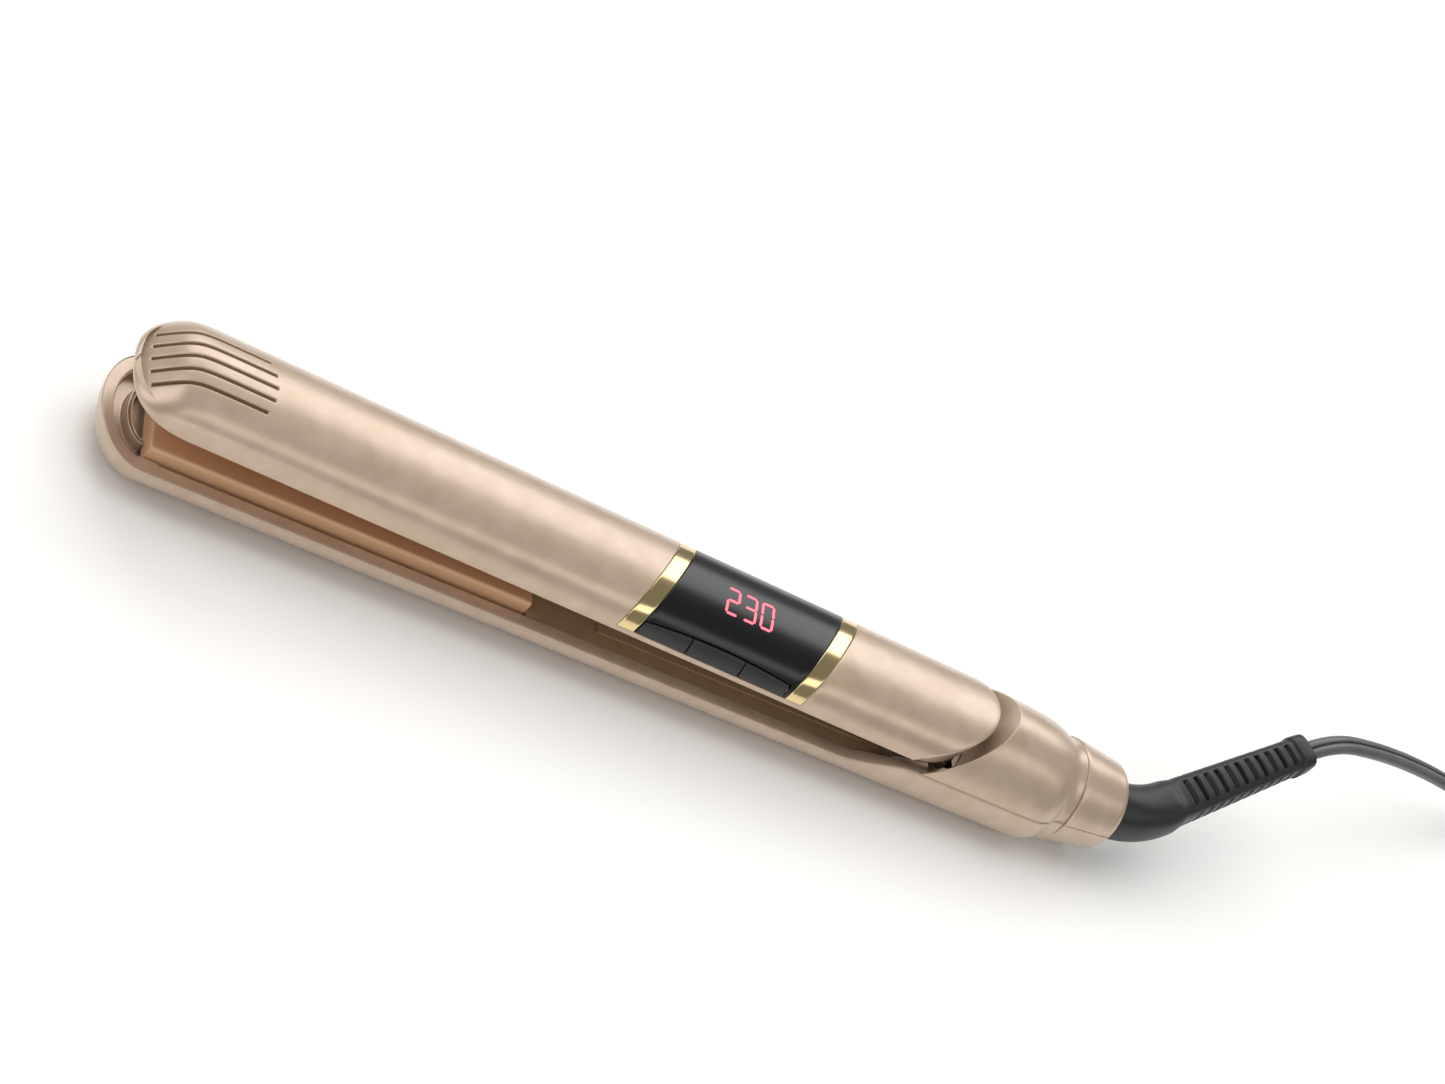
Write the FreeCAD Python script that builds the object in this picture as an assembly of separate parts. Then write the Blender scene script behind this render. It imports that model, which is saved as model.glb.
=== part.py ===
"""Two-armed hair iron (flat styling iron with heated plates), built as it comes apart on a bench.

Millimetres. +X points from the nose of the arms to the cable, -Y is the side with the buttons,
+Z is up. The iron lies on the back of its lower arm, and the origin is on that surface, under the
middle of the iron. Distances called d are measured along X from the nose of the lower arm.
The upper arm is drawn with the plates shut and then turned open about the hinge pin.
"""
import FreeCAD
import Part
import math
import os

os.makedirs("parts", exist_ok=True)
V = FreeCAD.Vector

# ---- driving dimensions ------------------------------------------------------------------
wall = 2.0                 # moulded shells
seam_gap = 0.1             # visible joint line between two shells or inlays
slide_gap = 0.25           # between a moving piece and what it moves in
running_gap = 0.05         # radial, shaft in hole

# Places along the iron, each measured from the piece before it, so that a longer plate or a
# longer grip moves everything behind it.
plate_start = 12.4
plate_length = 101.0
band_past_plate = 26.9     # front band at the crown, behind the plates
band_spacing = 50.7
hinge_past_band = 45.0     # hinge pin behind the rear band
housing_past_hinge = 41.2  # where the collar starts
collar_length = 16.8
elbow_past_collar = 11.0   # where the elbow's two axes meet

plate_end = plate_start + plate_length
band_front_d = plate_end + band_past_plate
band_rear_d = band_front_d + band_spacing
button_front_d = band_front_d - 3.3
button_rear_d = band_rear_d - 9.7
button_split_front_d = button_front_d + 14.4
button_split_rear_d = button_rear_d - 14.0
hinge_d = band_rear_d + hinge_past_band
rim_rise_start = hinge_d - 29.0    # where the rim starts to sweep up to the seam
rim_rise_end = hinge_d - 8.0
arm_end_middle = hinge_d - 7.0     # centre of the slanted half-ellipse that ends the upper arm
housing_end = hinge_d + housing_past_hinge
shoulder_start = housing_end - 9.2
shoulder_end = housing_end - 2.2
iron_length = housing_end + collar_length
elbow_d = iron_length + elbow_past_collar

lower_half_width = 17.0
rim_height = 11.8          # rim of the lower arm above the table
lower_depth = 12.2         # of the lower arm's round belly, cut flat where it rests
lower_nose_length = 12.5   # over which the lower arm rounds off in plan
rim_width = 3.7            # flat rim of the lower tray
parting_height = 16.2      # seam between the two halves of the rear housing

housing_rise = 20.0        # crown of the rear housing above the rim
collar_axis_height = 14.0
collar_radius = 14.0
collar_end_radius = 12.5
collar_end_rounding = 3.0
collar_bore_radius = 10.1

upper_half_width = 16.0
upper_height = 10.7        # crown above the upper arm's own rim
upper_section_power = 2.28
upper_nose_start = 1.5
upper_nose_length = 16.0
upper_nose_power = 2.6
upper_nose_lip = 0.5
upper_nose_slope = 1.0
rim_gap = 7.4              # between the two rims when the plates are shut
arm_end_reach = 17.1
arm_end_slant = 0.29
cove_gap_low = 0.9         # housing cove clear of the arm's end, low, middle and high
cove_gap_mid = 3.0
cove_gap_high = 7.6

hinge_height = 16.0
hinge_pin_radius = 1.5
hinge_bush_radius = 2.6
hinge_knuckle_radius = 4.2
hinge_knuckle_half = 8.0
hinge_ear_radius = 3.0
hinge_ear_thickness = 3.0
hinge_open_angle = 1.53    # degrees from plates shut to the arm at rest

plate_half_width = 12.45
plate_proud = 3.55         # plate face beyond its arm's rim
plate_skirt = 5.2
plate_wall = 1.6
plate_edge_radius = 1.8
plate_travel_gap = 0.9     # room under a plate for its float

inlay_slant = 0.54         # bands run aslant across the arm: mm along X per mm across
band_width = 4.8
inlay_low = 1.5            # lower edge of the inlays above the arm's rim
button_top_end = 5.0       # top edge of the buttons above the rim, at the ends and middle
button_top_mid = 5.95
button_wall = 1.6
button_travel = 0.5
button_stem_length = 3.0

vent_pitch = 3.72
vent_width = 0.9
vent_front_d = 3.9
vent_rear_d = 32.1
vent_fan = 0.031           # how much shorter the outer vents are, mm per mm squared

cable_width = 5.6
strain_relief_turn = (0.828, 0.525, 0.202)   # direction of the straight part
elbow_radius = 7.9
relief_length = 67.5       # elbow corner to the end of the block
relief_rib_start = 15.5
relief_slots = 11
relief_big = (12.2, 11.4)
relief_small = (9.8, 8.8)
relief_block = 5.0

mid = iron_length / 2
upper_rim = rim_height + rim_gap
hinge_point = V(hinge_d - mid, 0, hinge_height)


def at(d):
    """X of a distance d from the nose of the lower arm."""
    return d - mid


def save(node, shape):
    """Write one node, with its solids checked."""
    solids = shape.Solids
    assert solids, node
    for solid in solids:
        assert solid.isValid() and solid.Volume > 0.01, node
    whole = Part.makeCompound(solids) if len(solids) > 1 else solids[0]
    whole.exportStep("parts/" + node + ".step")
    box = shape.BoundBox
    print("%-22s %2d %9.1f mm3  x %7.1f %7.1f  y %6.1f %6.1f  z %6.1f %6.1f" % (
        node, len(solids), shape.Volume, box.XMin, box.XMax, box.YMin, box.YMax, box.ZMin, box.ZMax))


def box(d0, d1, y0, y1, z0, z1):
    """Box between two distances along the iron."""
    return Part.makeBox(d1 - d0, y1 - y0, z1 - z0, V(at(d0), y0, z0))


def rod(radius, start, axis, length):
    """Solid cylinder."""
    return Part.makeCylinder(radius, length, V(*start), V(*axis))


def prism(points, direction):
    """Straight prism of a closed outline of points."""
    points = [V(*p) for p in points]
    return Part.Face(Part.makePolygon(points + points[:1])).extrude(V(*direction))


def opened(shape):
    """A piece of the upper arm, turned from shut to its rest angle."""
    shape = shape.copy()
    shape.rotate(hinge_point, V(0, 1, 0), hinge_open_angle)
    return shape


def half_oval(d, half_width, height, base, down=False):
    """Closed wire of half an ellipse standing on, or hanging from, the level base."""
    tip = V(at(d), 0, base + (-height if down else height))
    centre = V(at(d), 0, base)
    side = V(at(d), half_width, base)
    if half_width >= height:
        curve = Part.ArcOfEllipse(Part.Ellipse(side, tip, centre), 0, math.pi)
    else:
        curve = Part.ArcOfEllipse(Part.Ellipse(tip, side, centre), -math.pi / 2, math.pi / 2)
    curve = curve.toShape()
    ends = [v.Point for v in curve.Vertexes]
    return Part.Wire([curve, Part.LineSegment(ends[1], ends[0]).toShape()])


def arch(d, half_width, height, base, power, steps=7):
    """Closed wire of half a superellipse standing on the level base."""
    points = []
    for i in range(2 * steps + 1):
        angle = math.pi * i / (2 * steps)
        c, s = math.cos(angle), math.sin(angle)
        y = half_width * math.copysign(abs(c) ** (2 / power), c)
        points.append(V(at(d), y, base + height * abs(s) ** (2 / power)))
    points[0].z = base
    points[-1].z = base
    curve = Part.BSplineCurve()
    curve.interpolate(points)
    return Part.Wire([curve.toShape(), Part.LineSegment(points[-1], points[0]).toShape()])


def loft(wires, ruled=False):
    """Solid through closed wires."""
    return Part.makeLoft(wires, True, ruled)


def run(wire, length):
    """Solid swept straight along X from a closed wire."""
    return Part.Face(wire).extrude(V(length, 0, 0))


def rounded(t, power):
    """Share of full size at share t of a rounded nose's length."""
    return (1 - (1 - min(t, 1)) ** power) ** (1 / power)


# ---- lower arm and rear housing, outer forms ----------------------------------------------
nose_steps = (0.12, 0.8, 2.2, 4.4, 7.4, 11.0, 16.0)


def lower_form(inset):
    """Outer form of everything below the level of the lower rim, shrunk by inset."""
    half_width, depth = lower_half_width - inset, lower_depth - inset
    wires = []
    for t in nose_steps:
        share = t / nose_steps[-1]
        size = rounded(share, 2.0)
        wires.append(half_oval(inset + share * (lower_nose_length - inset), half_width * size,
                               depth * size, rim_height, True))
    nose = loft(wires)
    body = run(half_oval(lower_nose_length, half_width, depth, rim_height, True),
               shoulder_start - lower_nose_length)
    end_width = collar_radius - 0.1 - inset
    end_depth = rim_height - collar_axis_height + collar_radius - 0.1 - inset
    shoulder = loft([half_oval(shoulder_start, half_width, depth, rim_height, True),
                     half_oval((shoulder_start + shoulder_end) / 2, half_width - 1.1, depth - 0.2,
                               rim_height, True),
                     half_oval(shoulder_end, end_width, end_depth, rim_height, True)])
    neck = run(half_oval(shoulder_end, end_width, end_depth, rim_height, True),
               housing_end - shoulder_end)
    return nose.fuse(body).fuse(shoulder).fuse(neck)


def housing_form(inset):
    """Outer form of the rear housing above the level of the lower rim, shrunk by inset."""
    half_width, rise = lower_half_width - inset, housing_rise - inset
    end_width = collar_radius - 0.1 - inset
    end_rise = collar_axis_height - rim_height + collar_radius - 0.1 - inset
    front = run(half_oval(hinge_d - 40.0, half_width, rise, rim_height), 50.0)
    slope = loft([half_oval(hinge_d + 10.0, half_width, rise, rim_height),
                  half_oval(hinge_d + 21.0, half_width, rise - 0.6, rim_height),
                  half_oval(shoulder_start, half_width - 0.05, rise - 2.1, rim_height),
                  half_oval((shoulder_start + shoulder_end) / 2, half_width - 1.1, rise - 3.1, rim_height),
                  half_oval(shoulder_end, end_width, end_rise, rim_height)])
    neck = run(half_oval(shoulder_end, end_width, end_rise, rim_height), housing_end - shoulder_end)
    return front.fuse(slope).fuse(neck)


def above_edge_line(level):
    """Everything above the lower shell's edge: flat rim, then a sweep up to the seam level."""
    start, end = at(rim_rise_start), at(rim_rise_end)
    half = (start + end) / 2
    curve = Part.BezierCurve()
    curve.setPoles([V(start, -40, rim_height), V(half, -40, rim_height),
                    V(half, -40, level), V(end, -40, level)])
    past = at(iron_length + 6)
    tail = Part.makePolygon([V(end, -40, level), V(past, -40, level), V(past, -40, 60),
                             V(start, -40, 60), V(start, -40, rim_height)])
    return Part.Face(Part.Wire([curve.toShape()] + tail.Edges)).extrude(V(0, 80, 0))


def oval_block(inset, z0, z1, end):
    """Upright block with the lower arm's plan, shrunk by inset."""
    reach, half = lower_nose_length - inset, lower_half_width - inset
    centre = V(at(lower_nose_length), 0, z0)
    tip, side = V(at(inset), 0, z0), V(at(lower_nose_length), half, z0)
    oval = Part.Ellipse(tip, side, centre) if reach > half else Part.Ellipse(side, tip, centre)
    disc = Part.Face(Part.Wire(oval.toShape())).extrude(V(0, 0, z1 - z0))
    return disc.fuse(box(lower_nose_length, end, -half, half, z0, z1))


def plan_nose(inset, z0, z1, end):
    """Upright block with the upper arm's rounded plan, shrunk by inset."""
    points = []
    steps = 7
    for i in range(-steps, steps + 1):
        share = 1 - math.cos(math.pi / 2 * abs(i) / steps)
        side = (upper_half_width - inset) * rounded(share, upper_nose_power) * (1 if i > 0 else -1)
        points.append(V(at(upper_nose_start + inset + share * upper_nose_length), side if i else 0, z0))
    curve = Part.BSplineCurve()
    curve.interpolate(points)
    tail = Part.makePolygon([points[-1], V(at(end), points[-1].y, z0), V(at(end), points[0].y, z0),
                             points[0]])
    return Part.Face(Part.Wire([curve.toShape()] + tail.Edges)).extrude(V(0, 0, z1 - z0))


hollow = lower_form(wall)
pocket_end = plate_start - 0.9
seam_low = parting_height - seam_gap / 2
seam_high = parting_height + seam_gap / 2
tray_half = lower_half_width - rim_width
notch_d = 16.2

# lower shell: tray, rim and lower half of the housing in one moulding
shell = lower_form(0).fuse(housing_form(0).cut(above_edge_line(seam_low)).cut(
    box(hinge_d - 46, rim_rise_start, -30, 30, rim_height, 60)))
tray = hollow.common(box(pocket_end, hinge_d - 14, -tray_half, tray_half, -1, 60))
tray = tray.fuse(hollow.common(box(hinge_d - 15, housing_end - 3, -11.2, 11.2, -1, 60)))
shell = shell.cut(tray)
shell = shell.cut(housing_form(wall).common(box(rim_rise_end, housing_end - 3, -30, 30, rim_height - 3, 60)))
shell = shell.cut(box(rim_rise_start, rim_rise_end + 1, -tray_half, tray_half, rim_height - 2, 60))
for side in (-1, 1):
    y0, y1 = sorted((side * (tray_half - 0.1), side * (tray_half + 0.7)))
    shell = shell.cut(box(notch_d - 3.2, notch_d + 0.4, y0, y1, rim_height - 2.5, 60))
# two crescent pockets in the nose, either side of a thin double ridge
pocket_floor = rim_height - 3.2
ridge_in = rim_width + 4.2
ridge = 0.8
for near, far in ((rim_width, ridge_in), (ridge_in + ridge, ridge_in + ridge + 0.5),
                  (ridge_in + 2 * ridge + 0.5, ridge_in + 12)):
    ring = oval_block(near, pocket_floor, 40, 60)
    if far < lower_nose_length - 1:
        ring = ring.cut(oval_block(far, pocket_floor - 1, 41, 61))
    shell = shell.cut(ring.common(box(-1, pocket_end + 0.01, -20, 20, 0, 60)))
# ears for the hinge pin, a seat for the arm spring, posts for the screws
ear_in = hinge_knuckle_half + slide_gap
ear_out = ear_in + hinge_ear_thickness
for side in (-1, 1):
    y0, y1 = sorted((side * ear_in, side * ear_out))
    ear = box(hinge_d - hinge_ear_radius, hinge_d + hinge_ear_radius, y0, y1, 2.6, hinge_height)
    ear = ear.fuse(rod(hinge_ear_radius, (at(hinge_d), y0, hinge_height), (0, 1, 0), hinge_ear_thickness))
    shell = shell.fuse(ear)
spring_d = hinge_d - 25.0
spring_seat = 7.0
shell = shell.fuse(rod(5.2, (at(spring_d), 0, 1.0), (0, 0, 1), spring_seat - 1.0))
cover_screw_ds = (plate_end + 7.6, hinge_d - 44.0)
cover_low = rim_height - 1.8
for d in cover_screw_ds:
    shell = shell.fuse(rod(3.2, (at(d), 0, 1.0), (0, 0, 1), cover_low - 1.0))
    shell = shell.cut(rod(0.96, (at(d), 0, 3.5), (0, 0, 1), 12))
housing_screw_d = hinge_d + 21.0
housing_screw_y = 9.6
post_top = parting_height - 0.2
for side in (-1, 1):
    centre = (at(housing_screw_d), side * housing_screw_y)
    shell = shell.fuse(rod(3.8, centre + (3.2,), (0, 0, 1), post_top - 3.2))
    shell = shell.cut(rod(2.9, centre + (-1,), (0, 0, 1), 9.0))
    shell = shell.cut(rod(1.6, centre + (5,), (0, 0, 1), 20.0))
shell = shell.cut(rod(hinge_pin_radius, (at(hinge_d), -ear_out + 0.2, hinge_height), (0, 1, 0),
                      2 * ear_out - 0.4))
swivel_hole = rod(8.0, (at(housing_end) - 9, 0, collar_axis_height), (1, 0, 0), 20)
shell = shell.cut(swivel_hole)
shell = shell.cut(box(-5, iron_length + 6, -30, 30, -2, 0))          # the flat it rests on
save("lower_shell", shell)

# ---- rear housing, upper half ---------------------------------------------------------------


def arm_end_wire(offset, z, start=hinge_d - 86.0):
    """Plan outline at height z of the arm's slanted half-ellipse end, grown by offset."""
    points = []
    steps = 10
    for i in range(steps + 1):
        angle = math.pi / 2 * (1 - 2 * i / steps)
        y = (upper_half_width + offset) * math.sin(angle)
        reach = (arm_end_reach + offset) * math.cos(angle)
        points.append(V(at(arm_end_middle + arm_end_slant * y + reach), y, z))
    curve = Part.BSplineCurve()
    curve.interpolate(points)
    tail = Part.makePolygon([points[-1], V(at(start), points[-1].y, z),
                             V(at(start), points[0].y, z), points[0]])
    return Part.Wire([curve.toShape()] + tail.Edges)


def cove(extra):
    """Room that the housing leaves round the arm's end, wider towards the top."""
    return loft([arm_end_wire(cove_gap_low + extra, 14.0), arm_end_wire(cove_gap_mid + extra, 22.0),
                 arm_end_wire(cove_gap_high + extra, 34.0)])


upper_half = housing_form(0).common(box(hinge_d - 46, iron_length + 6, -30, 30, seam_high, 60))
housing = upper_half.cut(cove(0))
room = housing_form(wall).common(box(hinge_d - 46, housing_end - 3, -30, 30, 0, 60)).cut(cove(wall))
housing = housing.cut(room)
for side in (-1, 1):
    post = rod(3.4, (at(housing_screw_d), side * housing_screw_y, parting_height), (0, 0, 1), 16)
    post = post.common(housing_form(0.5)).cut(cove(0.3))
    housing = housing.fuse(post)
    housing = housing.cut(rod(1.2, (at(housing_screw_d), side * housing_screw_y, 10), (0, 0, 1), 14))
housing = housing.cut(swivel_hole)
save("rear_housing_upper", housing)

screws = []
for side in (-1, 1):
    centre = (at(housing_screw_d), side * housing_screw_y)
    screw = rod(2.6, centre + (6.0,), (0, 0, 1), 2.0).fuse(rod(1.2, centre + (7.9,), (0, 0, 1), 13))
    screws.append(screw.cut(rod(0.9, centre + (5.9,), (0, 0, 1), 1.2)))
save("housing_screws", Part.makeCompound(screws))

# ---- collar round the cable swivel ----------------------------------------------------------
collar_end = iron_length
axis = V(0, 0, collar_axis_height)
neck_hole = elbow_radius + 0.08
shoulder = V(at(collar_end - collar_end_rounding), 0, collar_axis_height + collar_end_radius)
lip = V(at(collar_end), 0, collar_axis_height + collar_end_radius - collar_end_rounding)
bulge = V(at(collar_end) - collar_end_rounding * 0.29, 0,
          collar_axis_height + collar_end_radius - collar_end_rounding * 0.29)
start = V(at(housing_end + seam_gap), 0, collar_axis_height + collar_radius)
rest = Part.makePolygon([lip, axis + V(at(collar_end), 0, neck_hole),
                         axis + V(at(collar_end - wall), 0, neck_hole),
                         axis + V(at(collar_end - wall), 0, collar_bore_radius),
                         axis + V(at(housing_end + seam_gap), 0, collar_bore_radius), start])
outline = [Part.LineSegment(start, shoulder).toShape(), Part.Arc(shoulder, bulge, lip).toShape()]
collar = Part.Face(Part.Wire(outline + rest.Edges)).revolve(axis, V(1, 0, 0), 360)
save("collar_upper", collar.common(box(hinge_d, iron_length + 6, -30, 30, seam_high, 60)))
save("collar_lower", collar.common(box(hinge_d, iron_length + 6, -30, 30, -5, seam_low)))

# ---- hinge ----------------------------------------------------------------------------------
save("hinge_pin", rod(hinge_pin_radius, (at(hinge_d), -ear_out + 0.2, hinge_height), (0, 1, 0),
                      2 * ear_out - 0.4))
pin_hole = rod(hinge_pin_radius + running_gap, (at(hinge_d), -30, hinge_height), (0, 1, 0), 60)
bushes = []
for side in (-1, 1):
    y0, y1 = sorted((side * 3.0, side * hinge_knuckle_half))
    bushes.append(rod(hinge_bush_radius, (at(hinge_d), y0, hinge_height), (0, 1, 0), y1 - y0).cut(pin_hole))
save("hinge_bushes", opened(Part.makeCompound(bushes)))

# ---- upper arm, drawn shut --------------------------------------------------------------------
plain_d = 24.0


def nose_height(d, crown):
    """Height of the upper arm at d: a 45 degree slope that blends into the level crown."""
    slope = upper_nose_lip + (d - upper_nose_start) * upper_nose_slope
    return (max(slope, 0.05) ** -7 + crown ** -7) ** (-1 / 7)


def upper_run(inset):
    """Plain stretch of the upper arm, shrunk by inset."""
    return run(arch(plain_d, upper_half_width - inset, upper_height - inset, upper_rim,
                    upper_section_power), hinge_d + 14.0 - plain_d)


def upper_nose(inset):
    """Nose of the upper arm, shrunk by inset."""
    wires = []
    for t in nose_steps:
        d = upper_nose_start + inset * 1.2 + t * (plain_d - upper_nose_start - inset * 1.2) / 22.5
        size = rounded(t / upper_nose_length, upper_nose_power)
        height = nose_height(upper_nose_start + t, upper_height) * (upper_height - inset) / upper_height
        wires.append(arch(d, (upper_half_width - inset) * size, height, upper_rim, upper_section_power))
    wires.append(arch(plain_d, upper_half_width - inset, upper_height - inset, upper_rim,
                      upper_section_power))
    return loft(wires)


def aslant(d0, d1, z0=0.0, z1=60.0):
    """Upright block between two slanted lines across the arm, given at the crown."""
    y = 30.0
    lean = inlay_slant * y
    return prism([(at(d0) - lean, -y, z0), (at(d1) - lean, -y, z0),
                  (at(d1) + lean, y, z0), (at(d0) + lean, y, z0)], (0, 0, z1 - z0))


end_outer = Part.Face(arm_end_wire(0, -20, 20)).extrude(V(0, 0, 60))
end_inner = Part.Face(arm_end_wire(-wall, -20, 20)).extrude(V(0, 0, 60))
inner_run = upper_run(wall)
outer_run = upper_run(0).common(end_outer)
skin = outer_run.cut(inner_run.common(end_inner))
inlay_floor = upper_rim + inlay_low
inlay_ring = skin.common(box(band_front_d - 40, band_rear_d + 29, -30, 30, inlay_floor, 60))

upper_shell = skin.cut(aslant(band_front_d - seam_gap, band_rear_d + band_width + seam_gap,
                              inlay_floor - seam_gap))
nose = upper_nose(0).cut(upper_nose(wall))
vents = []
for i in range(-2, 3):
    y = i * vent_pitch
    front = vent_front_d + vent_fan * y * y * 0.4
    rear = vent_rear_d - vent_fan * y * y
    vents.append(box(front, rear, y - vent_width / 2, y + vent_width / 2, upper_rim + 1.2, 60))
upper_shell = upper_shell.fuse(nose).cut(Part.makeCompound(vents))
save("upper_shell", opened(upper_shell))

bands = {"gold_band_front": (band_front_d, band_front_d + band_width),
         "gold_band_rear": (band_rear_d, band_rear_d + band_width)}
for node, (d0, d1) in bands.items():
    save(node, opened(inlay_ring.common(aslant(d0, d1))))


def button_zone(d0, d1, grow):
    """Block, run across the near side, with the buttons' arched top edge."""
    z0 = upper_rim + inlay_low - (0 if grow else 0)
    middle = (button_front_d + button_rear_d) / 2
    half = (button_rear_d - button_front_d) / 2

    def top(d):
        fall = (button_top_mid - button_top_end) * ((d - middle) / half) ** 2
        return upper_rim + button_top_mid - fall + grow
    d0, d1 = d0 - grow, d1 + grow
    a, b, c = (V(at(d), -30, top(d)) for d in (d0, (d0 + d1) / 2, d1))
    corners = Part.makePolygon([c, V(at(d1), -30, z0), V(at(d0), -30, z0), a])
    face = Part.Face(Part.Wire([Part.Arc(a, b, c).toShape()] + corners.Edges))
    return face.extrude(V(0, 28, 0))


window = inlay_ring.common(aslant(band_front_d + band_width + seam_gap, band_rear_d - seam_gap))
window = window.cut(button_zone(button_front_d, button_rear_d, slide_gap))
save("display_window", opened(max(window.Solids, key=lambda solid: solid.Volume)))

# ---- three buttons, each a cap in the arm's side with a stem behind it ------------------------
button_edges = (button_front_d, button_split_front_d, button_split_rear_d, button_rear_d)
button_names = ("button_minus", "button_power", "button_plus")
button_skin = outer_run.cut(upper_run(button_wall))
half_slit = 0.15
button_front_gap = slide_gap + button_travel * inlay_slant    # the key slides in past the band
stem_height = upper_rim + (inlay_low + button_top_end) / 2
for i, node in enumerate(button_names):
    d0 = button_edges[i] + (half_slit if i else 0)
    d1 = button_edges[i + 1] - (half_slit if i < 2 else 0)
    cap = button_skin.common(button_zone(d0, d1, 0))
    cap = cap.cut(aslant(band_front_d, band_front_d + band_width + button_front_gap))
    centre = (d0 + d1) / 2
    stem = rod(1.3, (at(centre), -upper_half_width + 1.0, stem_height), (0, 1, 0), button_stem_length)
    save(node, opened(cap.fuse(stem.common(outer_run))))

# ---- key board with its three key switches, and the digit display ----------------------------
stem_end = -upper_half_width + 1.0 + button_stem_length
key_travel = 0.5
key_board_y = stem_end + key_travel + 3.2
keys = box(button_front_d + 3, button_rear_d - 3, key_board_y, key_board_y + 1.2,
           upper_rim + 1.9, upper_rim + 6.9)
for i in range(3):
    centre = (button_edges[i] + button_edges[i + 1]) / 2
    keys = keys.fuse(box(centre - 2.2, centre + 2.2, stem_end + key_travel + 0.6, key_board_y + 0.1,
                         stem_height - 1.6, stem_height + 1.6))
    keys = keys.fuse(rod(1.0, (at(centre), stem_end + key_travel + 0.1, stem_height), (0, 1, 0), 1.0))
save("key_board", opened(keys))

digits_d = band_front_d + 25.2
digits_y = -1.9
digit_module = box(digits_d - 9.5, digits_d + 9.5, digits_y - 5.0, digits_y + 5.0,
                   upper_rim + 3.6, upper_rim + 7.9)
save("digit_display", opened(digit_module))
control_board = box(band_front_d + 5.7, band_rear_d - 3.0, -6.9, 11.2,
                    upper_rim + 2.2, upper_rim + 3.4)
save("control_board", opened(control_board))

# ---- heated plates: plate, heater, clip, sensor, holder, cushions, for either arm -------------


def heated_stack(face, up):
    """The pieces of one plate, whose face is at height face and looks up (or down)."""
    s = 1 if up else -1
    d0, d1 = plate_start, plate_start + plate_length

    def slab(a, b, half, low, high):
        z0, z1 = sorted((face - s * low, face - s * high))
        return box(a, b, -half, half, z0, z1)

    plate = slab(d0, d1, plate_half_width, 0, plate_skirt)
    long_edges = [e for e in plate.Edges if abs(e.BoundBox.XLength - plate_length) < 0.01
                  and abs(e.BoundBox.ZMin - face) < 0.01]
    plate = plate.makeFillet(plate_edge_radius, long_edges)
    plate = plate.cut(slab(d0 + 2, d1 - 2, plate_half_width - plate_wall, plate_wall, 30))
    heater = slab(d0 + 16, d1 - 20, 6.2, plate_wall + 0.02, plate_wall + 1.6)
    clip = slab(d0 + 12, d1 - 16, 7.4, plate_wall + 1.62, plate_wall + 2.3)
    clip = clip.fuse(slab(d0 + 30, d0 + 34, 10.2, plate_wall + 1.62, plate_wall + 2.3))
    clip = clip.fuse(slab(d1 - 40, d1 - 36, 10.2, plate_wall + 1.62, plate_wall + 2.3))
    sensor = slab(d1 - 14, d1 - 6, 2.0, plate_wall + 0.02, plate_wall + 2.2)
    floor = plate_skirt + plate_travel_gap
    holder = slab(d0 + 1, d1 - 1, plate_half_width - 0.4, floor, floor + 1.6)
    holder = holder.cut(slab(d0 + 40, d0 + 60, 5.0, floor - 1, floor + 3))
    cushions = []
    for a in (d0 + 20, d1 - 32):
        cushions.append(slab(a, a + 8, 4.0, plate_wall + 2.32, floor - 0.02))
    return {"plate": plate, "heater": heater, "heater_clip": clip, "thermostat": sensor,
            "plate_holder": holder, "plate_cushions": Part.makeCompound(cushions)}


lower_face = rim_height + plate_proud
for name, shape in heated_stack(lower_face, True).items():
    save("lower_" + name, shape)
upper_face = upper_rim - plate_proud
for name, shape in heated_stack(upper_face, False).items():
    save("upper_" + name, opened(shape))

# ---- inner covers between the arms -------------------------------------------------------------
cover_start = plate_start + plate_length + 1.2
cover_end = hinge_d - 11
cover_half = lower_half_width - rim_width - 0.15
raised_start = plate_end + 21.1
raised_half = 9.0
cover = box(cover_start, cover_end, -cover_half, cover_half, cover_low, cover_low + 1.2)
cover = cover.fuse(box(raised_start, cover_end - 4, -raised_half, raised_half,
                       cover_low + 0.6, cover_low + 1.8))
for side in (-1, 1):
    y0, y1 = sorted((side * (cover_half - 2.2), side * cover_half))
    cover = cover.fuse(box(cover_start - 0.9, cover_start + 3, y0, y1, cover_low, cover_low + 1.8))
cover = cover.cut(rod(5.4, (at(spring_d), 0, 0), (0, 0, 1), 40))
screws = []
for d in cover_screw_ds:
    cover = cover.cut(rod(1.3, (at(d), 0, 0), (0, 0, 1), 40))
    cover = cover.cut(rod(2.4, (at(d), 0, cover_low + 0.7), (0, 0, 1), 40))
    screw = rod(0.95, (at(d), 0, 4.0), (0, 0, 1), cover_low - 3.2)
    screw = screw.fuse(rod(2.2, (at(d), 0, cover_low + 0.72), (0, 0, 1), 0.9))
    screw = screw.cut(box(d - 1.4, d + 1.4, -0.25, 0.25, cover_low + 1.1, 40))
    screw = screw.cut(box(d - 0.25, d + 0.25, -1.4, 1.4, cover_low + 1.1, 40))
    screws.append(screw)
save("lower_inner_cover", cover)
save("cover_screws", Part.makeCompound(screws))

cover_z = upper_rim + 0.3
upper_cover = plan_nose(wall + 0.25, cover_z, cover_z + 1.2, hinge_d - 14)
upper_cover = upper_cover.common(box(8.5, iron_length + 6, -30, 30, 0, 60))
upper_cover = upper_cover.cut(box(plate_start, plate_start + plate_length + 0.4,
                                  -plate_half_width - 0.3, plate_half_width + 0.3, 0, 60))
upper_cover = upper_cover.fuse(box(cover_start + 20, hinge_d - 14, -raised_half, raised_half,
                                   cover_z - 0.5, cover_z + 0.2))
save("upper_inner_cover", opened(upper_cover))

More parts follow.
